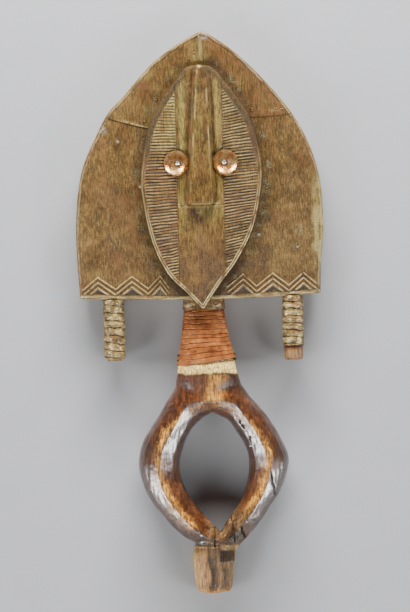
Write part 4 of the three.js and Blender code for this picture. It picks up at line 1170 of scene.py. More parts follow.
def cheek(side):
    """One hatched cheek: rows run along the hatch lines from the middle band to the rim"""
    left = side < 0
    if left:
        width, band, line, tilts = FACE_LEFT_W, BAND_LEFT_W + GAP / 2, face_left, HATCH_TILT_LEFT
    else:
        width, band, line, tilts = FACE_RIGHT_W, BAND_RIGHT_W + GAP / 2, face_right, HATCH_TILT_RIGHT
    tilt = spline([[t] for t in tilts], 400)[:, 0]
    phase, levels, slope, reach = cheek_rows(line, band, width, tilt)
    ends = np.array(STROKE_ENDS)
    tail = np.minimum(ends[None, :], reach[:, None] * (ends / ends[0])[None, :] * 0.6)
    share = np.linspace(0, 1, STROKE_POINTS, endpoint=False)
    inner = (reach - tail[:, 0])[:, None] * share[None, :]
    along = np.concatenate([inner, reach[:, None] - tail], axis=1)
    total, columns = along.shape
    x = (side * (band + along)).ravel()
    y = (levels[:, None] + slope[:, None] * along).ravel()
    points = np.column_stack([x, y])
    z, to_rim = rim_shape(points, face_z(x, y))
    rows = np.repeat(phase, columns)
    wobble = 0.16 * noise(points, (11, 5, 1), 11) + 0.09 * noise(points, (5, 3, 1), 12)
    ridge = np.abs(np.sin(np.pi * (rows + wobble))) ** 1.8
    start = 3.3 + 2.9 * high_up(points)
    fade = smooth(start, start + 1.6, to_rim) * smooth(-1.0, 0.5, rows)
    fade *= smooth(-1.0, 0.5, HATCH_COUNT - rows)
    fade *= smooth(0.2, 1.6, np.abs(x) - band + 0.4)
    deep = HATCH_DEPTH * (0.85 + 0.3 * noise(points, (12, 6, 1), 13))
    z = z - deep * (1 - ridge) * fade + 0.12 * noise(points, 5, 14) - eye_recess(points)
    faces = []
    ring = []
    for row in range(0, (total - 1) * columns, columns):
        for a in range(row, row + columns - 1):
            faces.append((a, a + 1, a + 1 + columns, a + columns))
        ring.append((row + columns - 1, row + 2 * columns - 1, "face"))
    if left:
        faces = [f[::-1] for f in faces]
        ring = [(b, a, kind) for a, b, kind in ring]
    full, faces = skirt(np.column_stack([points, z]), faces, ring, "face", face_wall)
    dark = smooth(0.3, 0.85, (1 - ridge) * fade)
    upper = smooth(0.55, 0.85, rows / HATCH_COUNT) * mottle(points, 18, 16, -0.6, 0.2)
    broken = mottle(points, (9, 3, 1), 18, -0.5, 0.5)
    bright = 0.6 + 0.35 * upper + 0.2 * smooth(0.4, 0.1, rows / HATCH_COUNT)
    reddish = mottle(points, 20, 17, -0.5, 0.5)
    values = no_values(len(points), yellow=upper * (1.0 if left else 0.25) * fade,
                       red=(0.6 if left else 0.8) * reddish * (1 - 0.8 * upper),
                       grime=0.7 * dark + 0.2 * mottle(points, 14, 15, 0.2, 0.8),
                       wear=bright * smooth(0.8, 1.0, ridge) * fade * broken)
    # Darker towards the bottom of the face, and more on the right cheek than the left
    values["grime"] += 0.4 * smooth(125, 0, y) + (0.06 if left else 0.24)
    rim_values(points, to_rim, values)
    name = "cheek_sheet_left" if left else "cheek_sheet_right"
    values = longer(values, len(full) - len(points), 0.25)
    sheet_piece(name, full, faces, values, "face_brass", FACE_BRASS, 60)


def middle_sheet(name, low, high, lines, shape):
    """The middle band of the face between two heights: the forehead with the nose, or the chin"""
    left_x, right_x = -BAND_LEFT_W + GAP / 2, BAND_RIGHT_W - GAP / 2
    corners = np.array([[left_x, low], [right_x, low], [right_x, high], [left_x, high]])
    rim = face_loop[inside(face_loop, corners)]
    is_chin = name == "chin_sheet"
    cut_y = high if is_chin else low
    order = np.argsort(np.arctan2(rim[:, 1] - cut_y, rim[:, 0]))
    sides = [(left_x, face_left), (right_x, face_right)]
    ends = []
    for x, line in sides if is_chin else sides[::-1]:
        ends.append(np.array([[x, cut_y], [x, y_on(line, x, is_chin)]]))
    (first, start), (last, end) = ends
    parts = [(straight(last, first, FACE_STEP), "cut"), (straight(first, start, FACE_STEP), "cut"),
             (np.vstack([[start], rim[order], [end]]), "face"), (straight(end, last, FACE_STEP), "cut")]
    flat, faces, ring = fill(parts, FACE_STEP, lines, np.vstack([inset(face_loop, d) for d in RIM_ROWS]))
    z, to_rim = rim_shape(flat, face_z(flat[:, 0], flat[:, 1]))
    z, values = shape(flat, z - eye_recess(flat), to_rim)
    rim_values(flat, to_rim, values)
    points, faces = skirt(np.column_stack([flat, z]), faces, ring, "face", face_wall)
    values = longer(values, len(points) - len(flat), 0.25)
    sheet_piece(name, points, faces, values, "face_brass", FACE_BRASS, 50)


def y_on(line, x, lower):
    """Height where a face outline stands at x, on its lower or its upper half"""
    middle = int(np.argmax(np.abs(line[:, 0])))
    part = line[:middle + 1] if lower else line[middle:]
    order = np.argsort(np.abs(part[:, 0]))
    return float(np.interp(abs(x), np.abs(part[order, 0]), part[order, 1]))


def forehead_shape(flat, z, to_rim):
    """Adds the forehead's two raised strips, the creases beside the nose, and zones"""
    x, y = flat.T
    middle, half, rise = nose_at(y)
    out = x - middle
    off = np.abs(out) - half + 0.35 * noise(flat, (99, 11, 1), 28)
    band_left = x + BAND_LEFT_W
    band_right = BAND_RIGHT_W - x
    free = smooth(3.0, 8.0, to_rim)
    z = z + free * 0.5 * bump(off, -0.6, 1.4) * (rise > 0)
    z -= free * 0.35 * bump(out, 0.0, 1.2)
    z -= free * 0.8 * bump(off, 3.6, 2.2)
    strips = bump(band_left, 6.0, 5.0) + bump(band_right, 4.5, 4.0)
    z += free * 0.8 * strips
    z += free * 0.4 * (bump(band_left, 0.9, 1.1) + bump(band_right, 0.9, 1.1))
    z += 0.22 * noise(flat, (9, 26, 1), 21) + 0.08 * noise(flat, (3, 12, 1), 22)
    values = no_values(len(flat))
    values["yellow"] = strips * (0.3 + 0.5 * smooth(95, 190, y)) * free
    values["yellow"] += 0.2 * mottle(flat, (8, 24, 1), 23, 0, 0.6)
    chips = mottle(flat, (4, 9, 1), 24, -0.5, 0.2)
    values["wear"] = bump(off, -0.5, 0.9) * (rise > 0) * chips * (0.35 + 0.6 * smooth(138, 160, y)) * free
    values["wear"] += 0.25 * chips * (bump(band_left, 0.9, 1.0) + bump(band_right, 0.9, 1.0)) * free
    bar = 0.75 * bump(y, MOUTH_Y + 1.0, 1.9) * smooth(-25, -22, x) * smooth(20, 16, x)
    values["wear"] += bar * chips
    values["wear"] += 0.7 * spot(flat, 1.0, 226.6, 1.6)
    # Painted shade in the creases beside the nose
    values["grime"] = 0.65 * bump(off, 3.0, 2.4) * mottle(flat, (5, 16, 1), 25, -0.7, 0.3)
    values["grime"] += 0.3 * bump(out, 0, 1.4) + 0.25 * mottle(flat, (7, 20, 1), 26, 0.2, 0.7)
    patches = 0.4 * mottle(flat, (8, 22, 1), 27, 0, 0.7)
    values["red"] = 0.7 * bump(off, 3.0, 3.0) * (x < middle) + patches
    values["red"] += 0.6 * bump(out, half - 3.0, 2.4) * (y > 120)
    return z, values


def chin_shape(flat, z, to_rim):
    """Adds the bar of the mouth seam and zones to the chin"""
    x, y = flat.T
    z = z + 0.25 * noise(flat, (12, 26, 1), 31) + 0.5 * bump(y, MOUTH_Y - 1.2, 1.6)
    high = smooth(60, 84, y)
    bar = smooth(-26, -23, x) * smooth(21, 17, x)
    wear = 0.7 * bump(y, MOUTH_Y - 0.9, 1.6) * bar * mottle(flat, (5, 2, 1), 35, -0.8, 0.2)
    yellow = 0.4 * high * mottle(flat, (9, 14, 1), 32, -0.4, 0.4)
    red = 0.6 * mottle(flat, (14, 30, 1), 33, -0.5, 0.5) * (1 - high * 0.7)
    below_mouth = bump(np.hypot(x + 1, (y - 82.0) * 1.6), 0, 5.5)
    pale = 0.5 * below_mouth * mottle(flat, 2.2, 36, -0.4, 0.4)
    # Darker towards the bottom of the chin
    grime = 0.3 * mottle(flat, (10, 26, 1), 34, 0.0, 0.7) + 0.5 * smooth(78, 30, y)
    return z, no_values(len(flat), wear=wear, yellow=yellow, red=red, pale=pale, grime=grime)


def nose_lines():
    """Lines of the mesh along the sides and the foot of the nose"""
    ys = np.arange(NOSE_FOOT_Y + 0.05, NOSE_FOOT_Y + NOSE_L - 4, 1.5)
    middle, half, _ = nose_at(ys)
    lines = [np.column_stack([middle + side * (half + out), ys])
             for side in (-1, 1) for out in (NOSE_SIDE_RUN, NOSE_SIDE_RUN * 0.5, 0.0, -0.7)]
    foot = np.full(20, NOSE_FOOT_Y - 0.02)
    return lines + [np.column_stack([np.linspace(-12, 11.2, 20), foot])]


def build_face():
    cheek(-1)
    cheek(1)
    middle_sheet("forehead_nose_sheet", MOUTH_Y + GAP / 2, FACE_TOP_Y + 2, nose_lines(), forehead_shape)
    middle_sheet("chin_sheet", -CHIN_DROP - 2, MOUTH_Y - GAP / 2, (), chin_shape)


# Eyes, nails and tacks

def eye_frame(x):
    """Where an eye sits, turned to lie flat on the sheets round it"""
    run = EYE_TILT_RUN
    out = math.copysign(run, x)
    heights = face_z([x, x + out, x, x], [EYE_Y, EYE_Y, EYE_Y + run, EYE_Y - run])
    here, beside, above, below = (float(v) for v in heights)
    normal = Vector((-(beside - here) / out, -(above - below) / (2 * run), 1)).normalized()
    turn = Vector((0, 0, 1)).rotation_difference(normal).to_matrix().to_4x4()
    return Matrix.Translation((x, EYE_Y, here - EYE_SINK)) @ turn


def placed(points, matrix):
    return np.array([tuple(matrix @ Vector(p)) for p in points])


def build_eyes():
    radius = EYE_D / 2
    for index, (side, x) in enumerate(EYES.items()):
        place = eye_frame(x)
        outer = [(0, EYE_RISE)]
        for angle in np.linspace(math.pi / 2, 0, 22)[1:]:
            outer.append((math.cos(angle) * radius, math.sin(angle) ** 1.3 * EYE_RISE))
        outer += [(radius - 0.1, -0.5), (radius - 1, -0.5)]
        inner = [(r * (radius - 1) / radius, max(-0.4, h - 1)) for r, h in outer[:-2]][::-1]
        points, faces = revolve(outer + inner, 64)
        far = np.hypot(points[:, 0], points[:, 1])
        dent = 0.22 * noise(points, 6, 41 + index) + 0.1 * noise(points, 2.6, 43 + index)
        points[:, 2] += dent * smooth(0, 3, radius - far) * (points[:, 2] > 0.5)
        points[:, :2] *= (1 + 0.012 * noise(points, 7, 45 + index))[:, None]
        points[:, 2] -= 0.5 * (1 - smooth(1.5, 4.5, far))
        worn = 0.6 * mottle(points, 5, 47, 0.2, 0.8) + 0.4 * bump(far, radius - 0.8, 1.4)
        values = no_values(len(points), wear=worn, grime=0.6 * bump(far, 2.9, 1.2))
        solid_piece(f"eye_boss_{side}", "metal", placed(points, place), faces, values, "polished_copper",
                    COPPER, 60)
        on_top = place @ Matrix.Translation((0, 0, EYE_RISE - 0.3))
        nail(f"eye_nail_{side}", EYE_NAIL, on_top, 51 + index, STEEL)


def nail(name, sizes, place, seed, material):
    """A round-headed nail with an uneven hammered head"""
    head, rise, shank, length = sizes
    radius = head / 2
    profile = [(0, rise)]
    for angle in np.linspace(math.pi / 2, 0.15, 7)[1:]:
        profile.append((math.cos(angle) * radius, math.sin(angle) * rise))
    profile += [(radius, 0.1), (radius * 0.9, -0.15), (shank / 2, -0.2), (shank / 2, -length * 0.8),
                (shank / 5, -length), (0, -length)]
    points, faces = revolve(profile, 24)
    top = points[:, 2] > -0.18
    points[top, :2] *= 1 + 0.06 * noise(points[top] + seed, 1.7, seed)[:, None]
    points[top, 2] += 0.12 * head / 5 * noise(points[top], 1.4, seed + 1)
    far = np.hypot(points[:, 0], points[:, 1])
    round_head = 0.7 * bump(far, radius, radius * 0.3) if head > 4 else bump(far, 0, radius * 0.6)
    values = no_values(len(points), grime=(points[:, 2] < -0.2) + round_head)
    solid_piece(name, "steel", placed(points, place), faces, values, "nail_steel", material, 50)


def build_tacks():
    for seed, (name, (x, y)) in enumerate(TACKS.items(), 61):
        flat = np.array([[x, y]])
        if name == "mouth_seam":
            z = face_z([x], [y])[0]
        else:
            z = board_front(flat, y > 200)[0][0]
            if "seam" in name:
                z += seam_lift(flat, "left" if x < 0 else "right")[0]
        nail("tack_" + name, TACK, Matrix.Translation((x, y, z - 0.05)), seed, TACK_METAL)


# Windings

def neck_row(y):
    """Middle, half width, back, front and squareness of the neck's section at a height"""
    down = max(0.0, -y / NECK_L)
    half = NECK_W / 2 * (1 + (NECK_FLARE - 1) * down ** NECK_FLARE_CURVE)
    past = min(max((-y - CHIN_DROP) / (NECK_L - CHIN_DROP), 0), 1)
    front = lerp(NECK_FRONT_Z, LOZENGE_T, past ** NECK_FRONT_CURVE)
    power = lerp(NECK_TOP_SQUARENESS, NECK_FOOT_SQUARENESS, min(down, 1))
    return NECK_SWAY * down ** 3, half, NECK_BACK, front, power


def neck_point(y, angle, out, slant=0.0):
    """A point round the neck, standing out from the wood, on a level that may slant"""
    middle, half, back, front, power = neck_row(y)
    c, s = math.cos(angle), math.sin(angle)
    x = math.copysign(abs(c) ** (2 / power), c) * (half + out)
    z = math.copysign(abs(s) ** (2 / power), s) * ((front - back) / 2 + out)
    return (middle + x, y + slant * x / NECK_W, (front + back) / 2 + z)


def around(reach, angle, along):
    """Places round a neck or a peg, for noise that runs on round it"""
    return np.column_stack([reach * np.cos(angle), along, reach * np.sin(angle)])


def sleeve(name, rows, angles, place, low, relief, zones, slot, material):
    """A closed sleeve: place(y, angle, out) gives a point, and relief how far out the surface stands"""
    grid = np.array([(y, a) for y in rows for a in angles])
    out = relief(*grid.T)
    outer = [place(y, a, o) for (y, a), o in zip(grid, out)]
    inner = [place(y, a, low) for y in np.r_[rows[::-12], rows[0]] for a in angles]
    points, faces = sweep(np.array(outer + inner).reshape(-1, len(angles), 3), closed=True)
    values = longer(zones(*grid.T, out), len(inner), 0.3)
    solid_piece(name, "strip", points, outwards(points, faces), values, slot, material, 60)


def outwards(points, faces):
    """The faces of a closed form, turned round if they look inwards"""
    points = points - points.mean(axis=0)
    total = 0.0
    for f in faces:
        a = points[f[0]]
        for i in range(1, len(f) - 1):
            total += a @ np.cross(points[f[i]], points[f[i + 1]])
    return faces if total > 0 else [f[::-1] for f in faces]


def crease(turn, width):
    """1 on the joint between two turns, fading to 0 within a share of a turn"""
    return 1 - smooth(0, width, np.abs(turn - np.round(turn)))


def build_neck_sheet():
    sides = 96
    sections = []
    for y in np.linspace(-0.4, -15.0, 20):
        sections.append([neck_point(y, 2 * math.pi * k / sides, GAP + SHEET_T) for k in range(sides)])
    points, faces = sweep(sections, caps=False)
    folds = 0.45 * noise(points, (5, 2.6, 9), 71) + 0.25 * noise(points, (2.2, 1.6, 4), 75)
    points[:, 2] += folds * smooth(-0.4, -3, points[:, 1])
    shade = 0.5 * smooth(-5, -1, points[:, 1])
    bare = 0.3 * mottle(points, (6, 2, 6), 74, 0.3, 0.7)
    values = no_values(len(points), red=mottle(points, 8, 72, -0.2, 0.6) * 0.8,
                       grime=0.6 * mottle(points, 6, 73, 0, 0.6) + shade,
                       wear=0.9 * smooth(0.25, 0.6, folds) + bare)
    sheet_piece("neck_sheet", points, [f[::-1] for f in faces], values, "olive_brass", OLIVE)


def build_neck_winding():
    """A flat strip: its joints stand at the levels that the front shows, and it leans more further down"""
    joints = WINDING_TOP_Y - np.cumsum(TURN_WIDTHS)

    def turns(y, angle):
        down = np.clip((WINDING_TOP_Y - y) / WINDING_L, 0, 1)
        wander = 0.22 * np.sin(3 * angle + 9 * down) + 0.16 * np.sin(7 * angle + 23 * down)
        level = y + wander - 1.3 * (angle / math.pi - 0.5)
        return np.interp(-level, -joints, np.arange(len(joints)))

    def relief(y, angle):
        turn = turns(y, angle)
        flat = 0.95 - 0.85 * crease(turn, 0.12) + 0.12 * (turn - np.floor(turn) - 0.5)
        return GAP + flat + 0.1 * noise(around(20, angle, y * 2), 3, 81)

    def zones(y, angle, out):
        turn = turns(y, angle)
        along = around(20, angle, 4 * np.floor(turn))
        worn = mottle(around(20, angle, y), (9, 3, 9), 84, 0.2, 0.9)
        # Painted shade in the gaps between the turns, with dirt
        return no_values(len(y), grime=crease(turn, 0.1) + 0.3 * mottle(along, 6, 82, 0.2, 0.7),
                         red=0.3 * mottle(along, 9, 83, 0.1, 0.7),
                         wear=0.08 * worn * (1 - crease(turn, 0.3)))

    def place(y, angle, out):
        down = (WINDING_TOP_Y - y) / WINDING_L
        slant = WINDING_SLANT * down * down
        return neck_point(y - slant * down / 2, angle, out, slant)

    angles = np.linspace(0, 2 * math.pi, 144, endpoint=False)
    rows = np.linspace(WINDING_TOP_Y, WINDING_TOP_Y - WINDING_L, 180)
    sleeve("neck_winding", rows, angles, place, 0.05, relief, zones, "copper_strip", COPPER_STRIP)


def build_pins():
    """Small pins in the sides of the neck at the lower end of its winding"""
    for index, (x, y) in enumerate(PINS):
        _, _, back, front, _ = neck_row(y)
        points, faces = revolve([(0, 1.3), (0.8, 1.1), (1.1, 0.6), (1.1, -3.0), (0, -3.2)], 16)
        points[:, :2] *= 1 + 0.08 * noise(points + index * 7, 0.9, 85)[:, None]
        turn = Matrix.Rotation(math.copysign(math.pi / 2, x), 4, "Y")
        place = Matrix.Translation((x, y, (front + back) / 2 + 2.0)) @ turn
        mesh = to_mesh(f"pin_{index}", placed(points, place), faces)
        put_values(mesh, no_values(len(points), grime=np.full(len(points), 0.8)))
        pin = show(f"neck_pin_{index}", mesh)
        mesh.materials.append(TACK_METAL)
        mesh.shade_smooth()
        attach(pin, "root")


def build_peg_winding(side, seed):
    """Crumpled strip wound round a peg"""
    x, length, bare = PEGS[side]
    top = float(lower_edge(np.array(x))) - 0.15
    end = bare - length
    bore = PEG_D / 2 + GAP

    def turns(y, spot, angle):
        bend = 0.16 * noise(spot, (7, 9, 7), seed) + 0.07 * noise(spot, 3.5, seed + 1)
        return (top - y) / (top - end) * PEG_TURNS[side] + 0.25 * np.sin(angle - 0.6) + bend

    def relief(y, angle):
        spot = around(10, angle, y)
        turn = turns(y, spot, angle)
        swell = 0.75 * np.sin(math.pi * (turn - np.floor(turn))) ** 0.7
        folds = 0.42 * noise(spot, (3.0, 2.0, 3.0), seed + 2) + 0.3 * noise(spot, (1.6, 1.3, 1.6), seed + 3)
        sharp = 1 - np.abs(noise(spot, (4.5, 2.2, 4.5), seed + 4))
        return bore + 2.35 + swell + folds + 0.5 * sharp ** 4 - 0.8 * crease(turn, 0.08) - PEG_D / 2

    def zones(y, angle, out):
        spot = around(10, angle, y)
        # Painted shade in the gaps between turns and on the low folds; painted highlights and wear on the
        # highest folds
        joint = 0.7 * crease(turns(y, spot, angle), 0.1)
        high = out + PEG_D / 2 - bore - 2.45
        return no_values(len(y), grime=joint + 0.45 * smooth(0.45, -0.1, high)
                         + 0.3 * mottle(spot, 4, seed + 5, 0.1, 0.6),
                         wear=0.9 * smooth(0.75, 1.45, high) * mottle(spot, 2.5, seed + 6, -0.5, 0.3),
                         red=0.45 * mottle(spot, 5, seed + 7, 0.2, 0.7))

    def place(y, angle, out):
        reach = PEG_D / 2 + out
        return (x + reach * math.cos(angle), y, PEG_Z + reach * math.sin(angle))

    rows = np.linspace(top, end, int((top - end) / 0.5))
    angles = np.linspace(0, 2 * math.pi, 128, endpoint=False)
    sleeve(f"peg_winding_{side}", rows, angles, place, GAP, relief, zones, "brass_strip", BRASS_STRIP)


# Wood

def plate(loop, low, high):
    """A closed slab over a loop, with its back and its front at given heights"""
    flat, faces, ring = fill([(closed_line(loop), "edge")], WOOD_STEP)
    count = len(flat)
    front = np.column_stack([flat, high(flat)])
    back = np.column_stack([flat, low(flat)])
    all_faces = list(faces) + [tuple(i + count for i in f[::-1]) for f in faces]
    all_faces += [(a, a + count, b + count, b) for a, b, _ in ring]
    return np.vstack([front, back]), all_faces


def oval(left, left_w, right, right_w, height, top):
    """An outline round the lozenge or its hole, in equal steps down the left and up the right"""
    sides = []
    for points, width in ((left, -left_w), (right, right_w)):
        line = spline([[a * width, top - d * height] for a, d in points], 400)
        sides.append(resample(line, count=72))
    return np.vstack([sides[0][:-1], sides[1][:0:-1]])


def lozenge_ring():
    """The open lozenge: the arms' section swept round between the hole and the outline"""
    outer = oval(LOZENGE_LEFT, LOZENGE_LEFT_W, LOZENGE_RIGHT, LOZENGE_RIGHT_W, LOZENGE_L,
                 -NECK_L - LOZENGE_TOP_LAP)
    inner = oval(HOLE_LEFT, HOLE_LEFT_W, HOLE_RIGHT, HOLE_RIGHT_W, HOLE_L, -NECK_L - HOLE_DROP)
    share, rise = resample(closed_line(ARM_SECTION), 0.045)[:-1].T
    sections = [np.column_stack([lerp(i[0], o[0], share), lerp(i[1], o[1], share), rise * LOZENGE_T])
                for i, o in zip(inner, outer)]
    return sweep(sections, closed=True)


def foot_block():
    """The broken foot: one rounded section in rows that taper"""
    across_x, up = loop_spline(FOOT_SECTION, 40).T
    up = np.clip(up, 0, 1)
    sections = []
    for down, left, right, thick in spline(FOOT_ROWS, 28):
        half = FOOT_W / 2 * np.where(across_x < 0, left, right)
        y = np.full(len(up), FOOT_TOP_Y - down * FOOT_L)
        sections.append(np.column_stack([FOOT_X + across_x * half, y, up * thick * FOOT_T]))
    return sweep(sections)


def neck_block():
    """The neck, with a tongue into the lozenge"""
    sides = 64
    sections = []
    for y in np.linspace(2.6, -NECK_L - NECK_INTO_LOZENGE, 50):
        ring = np.array([neck_point(min(y, 0), 2 * math.pi * k / sides, 0) for k in range(sides)])
        sections.append(ring + [0, max(y, 0), 0])
    tongue = sections[-1] - [0, 20, 0]
    tongue[:, 0] *= 0.3
    points, faces = sweep(sections + [tongue])
    return points, [f[::-1] for f in faces]


CRACKS = [
    ([(32.4, -126.2), (37.2, -133.3)], 1.2, 2.0),
    ([(43.0, -142.5), (42.7, -152.5)], 1.2, 1.6),
    ([(62.1, -177.0), (64.8, -190.0), (66.5, -202.1)], 1.2, 1.8),
    ([(31.8, -231.2), (36.4, -246.4)], 1.3, 2.8),
    ([(-1.3, -262.4), (0.6, -272.0), (3.0, -283.6)], 0.9, 0.8),
    ([(4.0, -222.0), (6.0, -236.0), (5.0, -250.0)], 1.0, 1.6),
    ([(22.0, -222.0), (24.0, -236.0), (25.0, -247.0)], 1.0, 1.8),
    ([(14.5, -219.0), (15.5, -231.0)], 0.8, 1.2),
    ([(-20.0, -226.0), (-8.0, -238.0)], 0.8, 1.0),
    ([(57.0, -150.0), (60.0, -158.0)], 0.8, 1.0),
]
GOLD_LEFT = spline([(6.0, -100.6), (-14.0, -114.0), (-33.0, -128.0), (-43.0, -139.4), (-48.8, -160.3),
                    (-48.1, -183.3), (-39.5, -201.5), (-32.5, -213.7), (-18.0, -229.0)], 80)
GOLD_RIGHT = spline([(6.0, -100.6), (24.0, -113.0), (44.0, -131.0), (57.8, -150.9), (60.1, -162.9),
                     (54.8, -189.8), (46.4, -205.6), (34.0, -222.0)], 80)
GOLD_MIDDLE = spline([(12.0, -79.0), (9.0, -90.0), (7.0, -102.0)], 20)
DARK_LEFT = spline([(-20.0, -92.0), (-46.0, -122.0), (-62.0, -144.0), (-69.0, -168.0)], 40)
DARK_RIGHT = spline([(38.0, -96.0), (62.0, -124.0), (78.0, -152.0), (81.0, -176.0), (66.0, -206.0)], 40)
FOOT_STAIN = spline([(2.1, -256.0), (0.5, -272.0), (-0.7, -291.0)], 20)


def raw_wood(points):
    """Where the bare, weathered wood shows at the foot of the lozenge and on the broken foot"""
    x, y = points[:, 0], points[:, 1]
    ragged = 2.5 * noise(points, (4, 7, 5), 111) + 1.4 * noise(points, (2, 4, 2), 112)
    low = smooth(-208, -226, y + 2 * ragged) * smooth(-6, 4, x + ragged) * (1 - smooth(37, 44, x + ragged))
    return low, smooth(-248.5, -251.5, y + 0.3 * ragged)


def eased(mesh, points, share):
    """Moves points towards the middle of their neighbours, over and over"""
    edges = np.empty(len(mesh.edges) * 2, np.int32)
    mesh.edges.foreach_get("vertices", edges)
    one, other = edges.reshape(-1, 2).T
    count = len(points)
    beside = np.bincount(np.r_[one, other], minlength=count)[:, None]
    for _ in range(70):
        total = [np.bincount(one, points[other, k], count) + np.bincount(other, points[one, k], count)
                 for k in range(3)]
        points = points + share[:, None] * (np.column_stack(total) / beside - points)
    return points


def carve(mesh):
    """Tool marks, grain, wear and cracks on the carved wood"""
    points = points_of(mesh)
    normals = np.empty(len(points) * 3)
    mesh.vertices.foreach_get("normal", normals)
    y, z = points[:, 1], points[:, 2]
    share = smooth(-68, -80, y) * smooth(-110, -95, y) * smooth(0.5, 4.0, z)
    points = eased(mesh, points, share)
    move = 0.4 * noise(points, 22, 101) + 0.32 * noise(points, 8, 102)
    move += 0.22 * noise(points, (2.2, 20, 2.6), 103) + 0.1 * noise(points, 2.4, 107)
    low, foot = raw_wood(points)
    move += low * (0.5 * noise(points, (1.8, 22, 2.5), 104) + 0.3 * noise(points, 4, 105))
    move += foot * (0.45 * noise(points, (3.0, 26, 4.0), 108) + 0.35 * noise(points, 6, 109))
    move += 0.8 * foot * bump(points[:, 1], -250.5, 1.5)
    move *= smooth(-67, -74, points[:, 1])
    for line, width, depth in CRACKS:
        path = resample(line, LINE_STEP)
        path[:, 0] += 0.7 * noise(path, 4, 106)
        move -= depth * (1 - smooth(0, width, distance(points, path))) * (points[:, 2] > 12)
    up = smooth(0.5, 3.0, points[:, 2])
    points = points + normals.reshape(-1, 3) * (move * up)[:, None]
    points[:, 2] = np.maximum(points[:, 2], 0)
    put_points(mesh, points)


def wood_values(mesh):
    """Zones of the wood: golden ridges, dark sides with painted shade, bare raw places, dirt, painted shade
    in the notch and along the floor, and the pegs' own colours
    """
    points = points_of(mesh)
    x, y, z = points.T
    ragged = 2.5 * noise(points, (5, 5, 5), 111) + 1.2 * noise(points, 2.2, 112)
    low, foot = raw_wood(points)
    left = distance(points, GOLD_LEFT) + 0.9 * ragged
    right = distance(points, GOLD_RIGHT) + 0.9 * ragged
    values = no_values(len(points))
    band = smooth(-79.5 + 0.5 * ragged, -77 + 0.5 * ragged, y) * (y < -10) * (y > -90) * (np.abs(x) < 50)
    bare_side = smooth(-10, -16, x + 0.5 * ragged) + smooth(16, 22, x + 0.4 * ragged)
    values["pale"] = band + 0.5 * foot * bare_side
    values["yellow"] = np.clip(0.45 * low + foot, 0, 1)

    high = smooth(14, 22, z) * (y < -82) * (1 - low) * (1 - foot)
    down = smooth(-118, -140, y)
    gold = haze(left, lerp(2.5, 4.2, down)) + 0.9 * haze(right, lerp(2.5, 3.7, down))
    patchy = 0.7 + 0.45 * mottle(points, (6, 12, 6), 115, -0.5, 0.3)
    middle = haze(distance(points, GOLD_MIDDLE) + ragged, 8)
    values["wear"] = gold * patchy * high + 0.7 * middle * (z > 18) * (y < -80)
    edges = 0.2 + 0.75 * smooth(-14, -19, x + 0.5 * ragged) + 0.6 * smooth(20, 24, x + 0.4 * ragged)
    values["wear"] += foot * (edges + 0.8 * smooth(-290, -297, y + ragged) + 0.6 * bump(y, -250.8, 1.4))

    broad = haze(left, 13) + haze(right, 11)
    values["red"] = 0.5 * broad * high + 0.25 * mottle(points, 14, 113, 0.0, 0.6) * (1 - foot)
    values["red"] += 0.7 * smooth(-78, -84, y) * smooth(-118, -104, y) * smooth(6, -6, x) * (z > 12)
    # Painted shade on the outer sides of the upper arms, which face away from the lamps, over the wood's dark
    # skin
    dark = 1.3 * haze(distance(points, DARK_LEFT), 15) + 1.3 * haze(distance(points, DARK_RIGHT), 16)
    values["crust"] = dark * (1 - low) * (y < -84) * mottle(points, 9, 116, -0.8, 0.0)
    values["crust"] += 0.6 * smooth(-82, -86, y) * smooth(-100, -90, y) * smooth(20, 30, x)

    values["grime"] = 0.35 * mottle(points, 12, 114, 0.1, 0.8) * (1 - values["pale"])
    values["grime"] += 0.65 * low * mottle(points, (3.0, 14, 3), 117, -0.9, 0.2)
    values["grime"] += 0.36 * haze(distance(points, FOOT_STAIN) + 0.8 * ragged, 5.0) * foot
    for line, width, _ in CRACKS:
        near = distance(points, resample(line, LINE_STEP))
        values["grime"] += 0.8 * (1 - smooth(0.2, width, near)) * (z > 10)
    # Painted shade inside the square notch
    in_notch = ((x > NOTCH_X - 0.6) & (x < NOTCH_X + NOTCH_W + 0.6) & (y < NOTCH_Y + 0.6)
                & (y > NOTCH_Y - NOTCH_L - 0.6) & (z < FOOT_T - 3))
    values["grime"] = np.maximum(values["grime"], 0.8 * in_notch)
    # Painted shade along the underside where the wood meets the floor
    values["grime"] += 0.3 * (1 - smooth(0.5, 2.5, z))

    end = smooth(-58, -55, y + 0.3 * ragged)
    pegs = {"red": end, "yellow": 0.55 * (1 - end), "grime": 0.35 * end, "wear": 0.15 * (1 - end), "crust": 0}
    for peg_x, _, _ in PEGS.values():
        on_peg = (np.abs(x - peg_x) < 12) & (y < -20) & (y > -70) & (np.abs(x) > 70)
        for key, value in pegs.items():
            values[key] = np.where(on_peg, value, values[key])
    put_values(mesh, values)


def peg_core(x, length, bare):
    """A round peg, with the wide wooden end that its windings leave bare"""
    rows = [(3.5, 1.0), (-length * 0.5, 1.0), (-length + 1.2, 1.0), (-length + 0.3, 0.94), (-length, 0.82)]
    if bare > 5:
        wide = PEG_END_D / PEG_D
        start = bare - length - GAP
        rows = [(3.5, 1.0), (start, 1.0), (start - 0.01, wide * 0.97), (start - 0.8, wide),
                (start - 6.0, wide), (start - 7.0, wide * 0.985), (-length + 2.6, wide * 0.99),
                (-length + 1.0, wide * 0.93), (-length, wide * 0.8)]
    angles = np.linspace(0, 2 * math.pi, 48, endpoint=False)
    sections = []
    for y, share in rows:
        reach = PEG_D / 2 * share * (1 + 0.012 * np.sin(3 * angles + y))
        sections.append(np.column_stack([x + reach * np.cos(angles), np.full(len(angles), y),
                                         PEG_Z + reach * np.sin(angles)]))
    return sweep(sections)


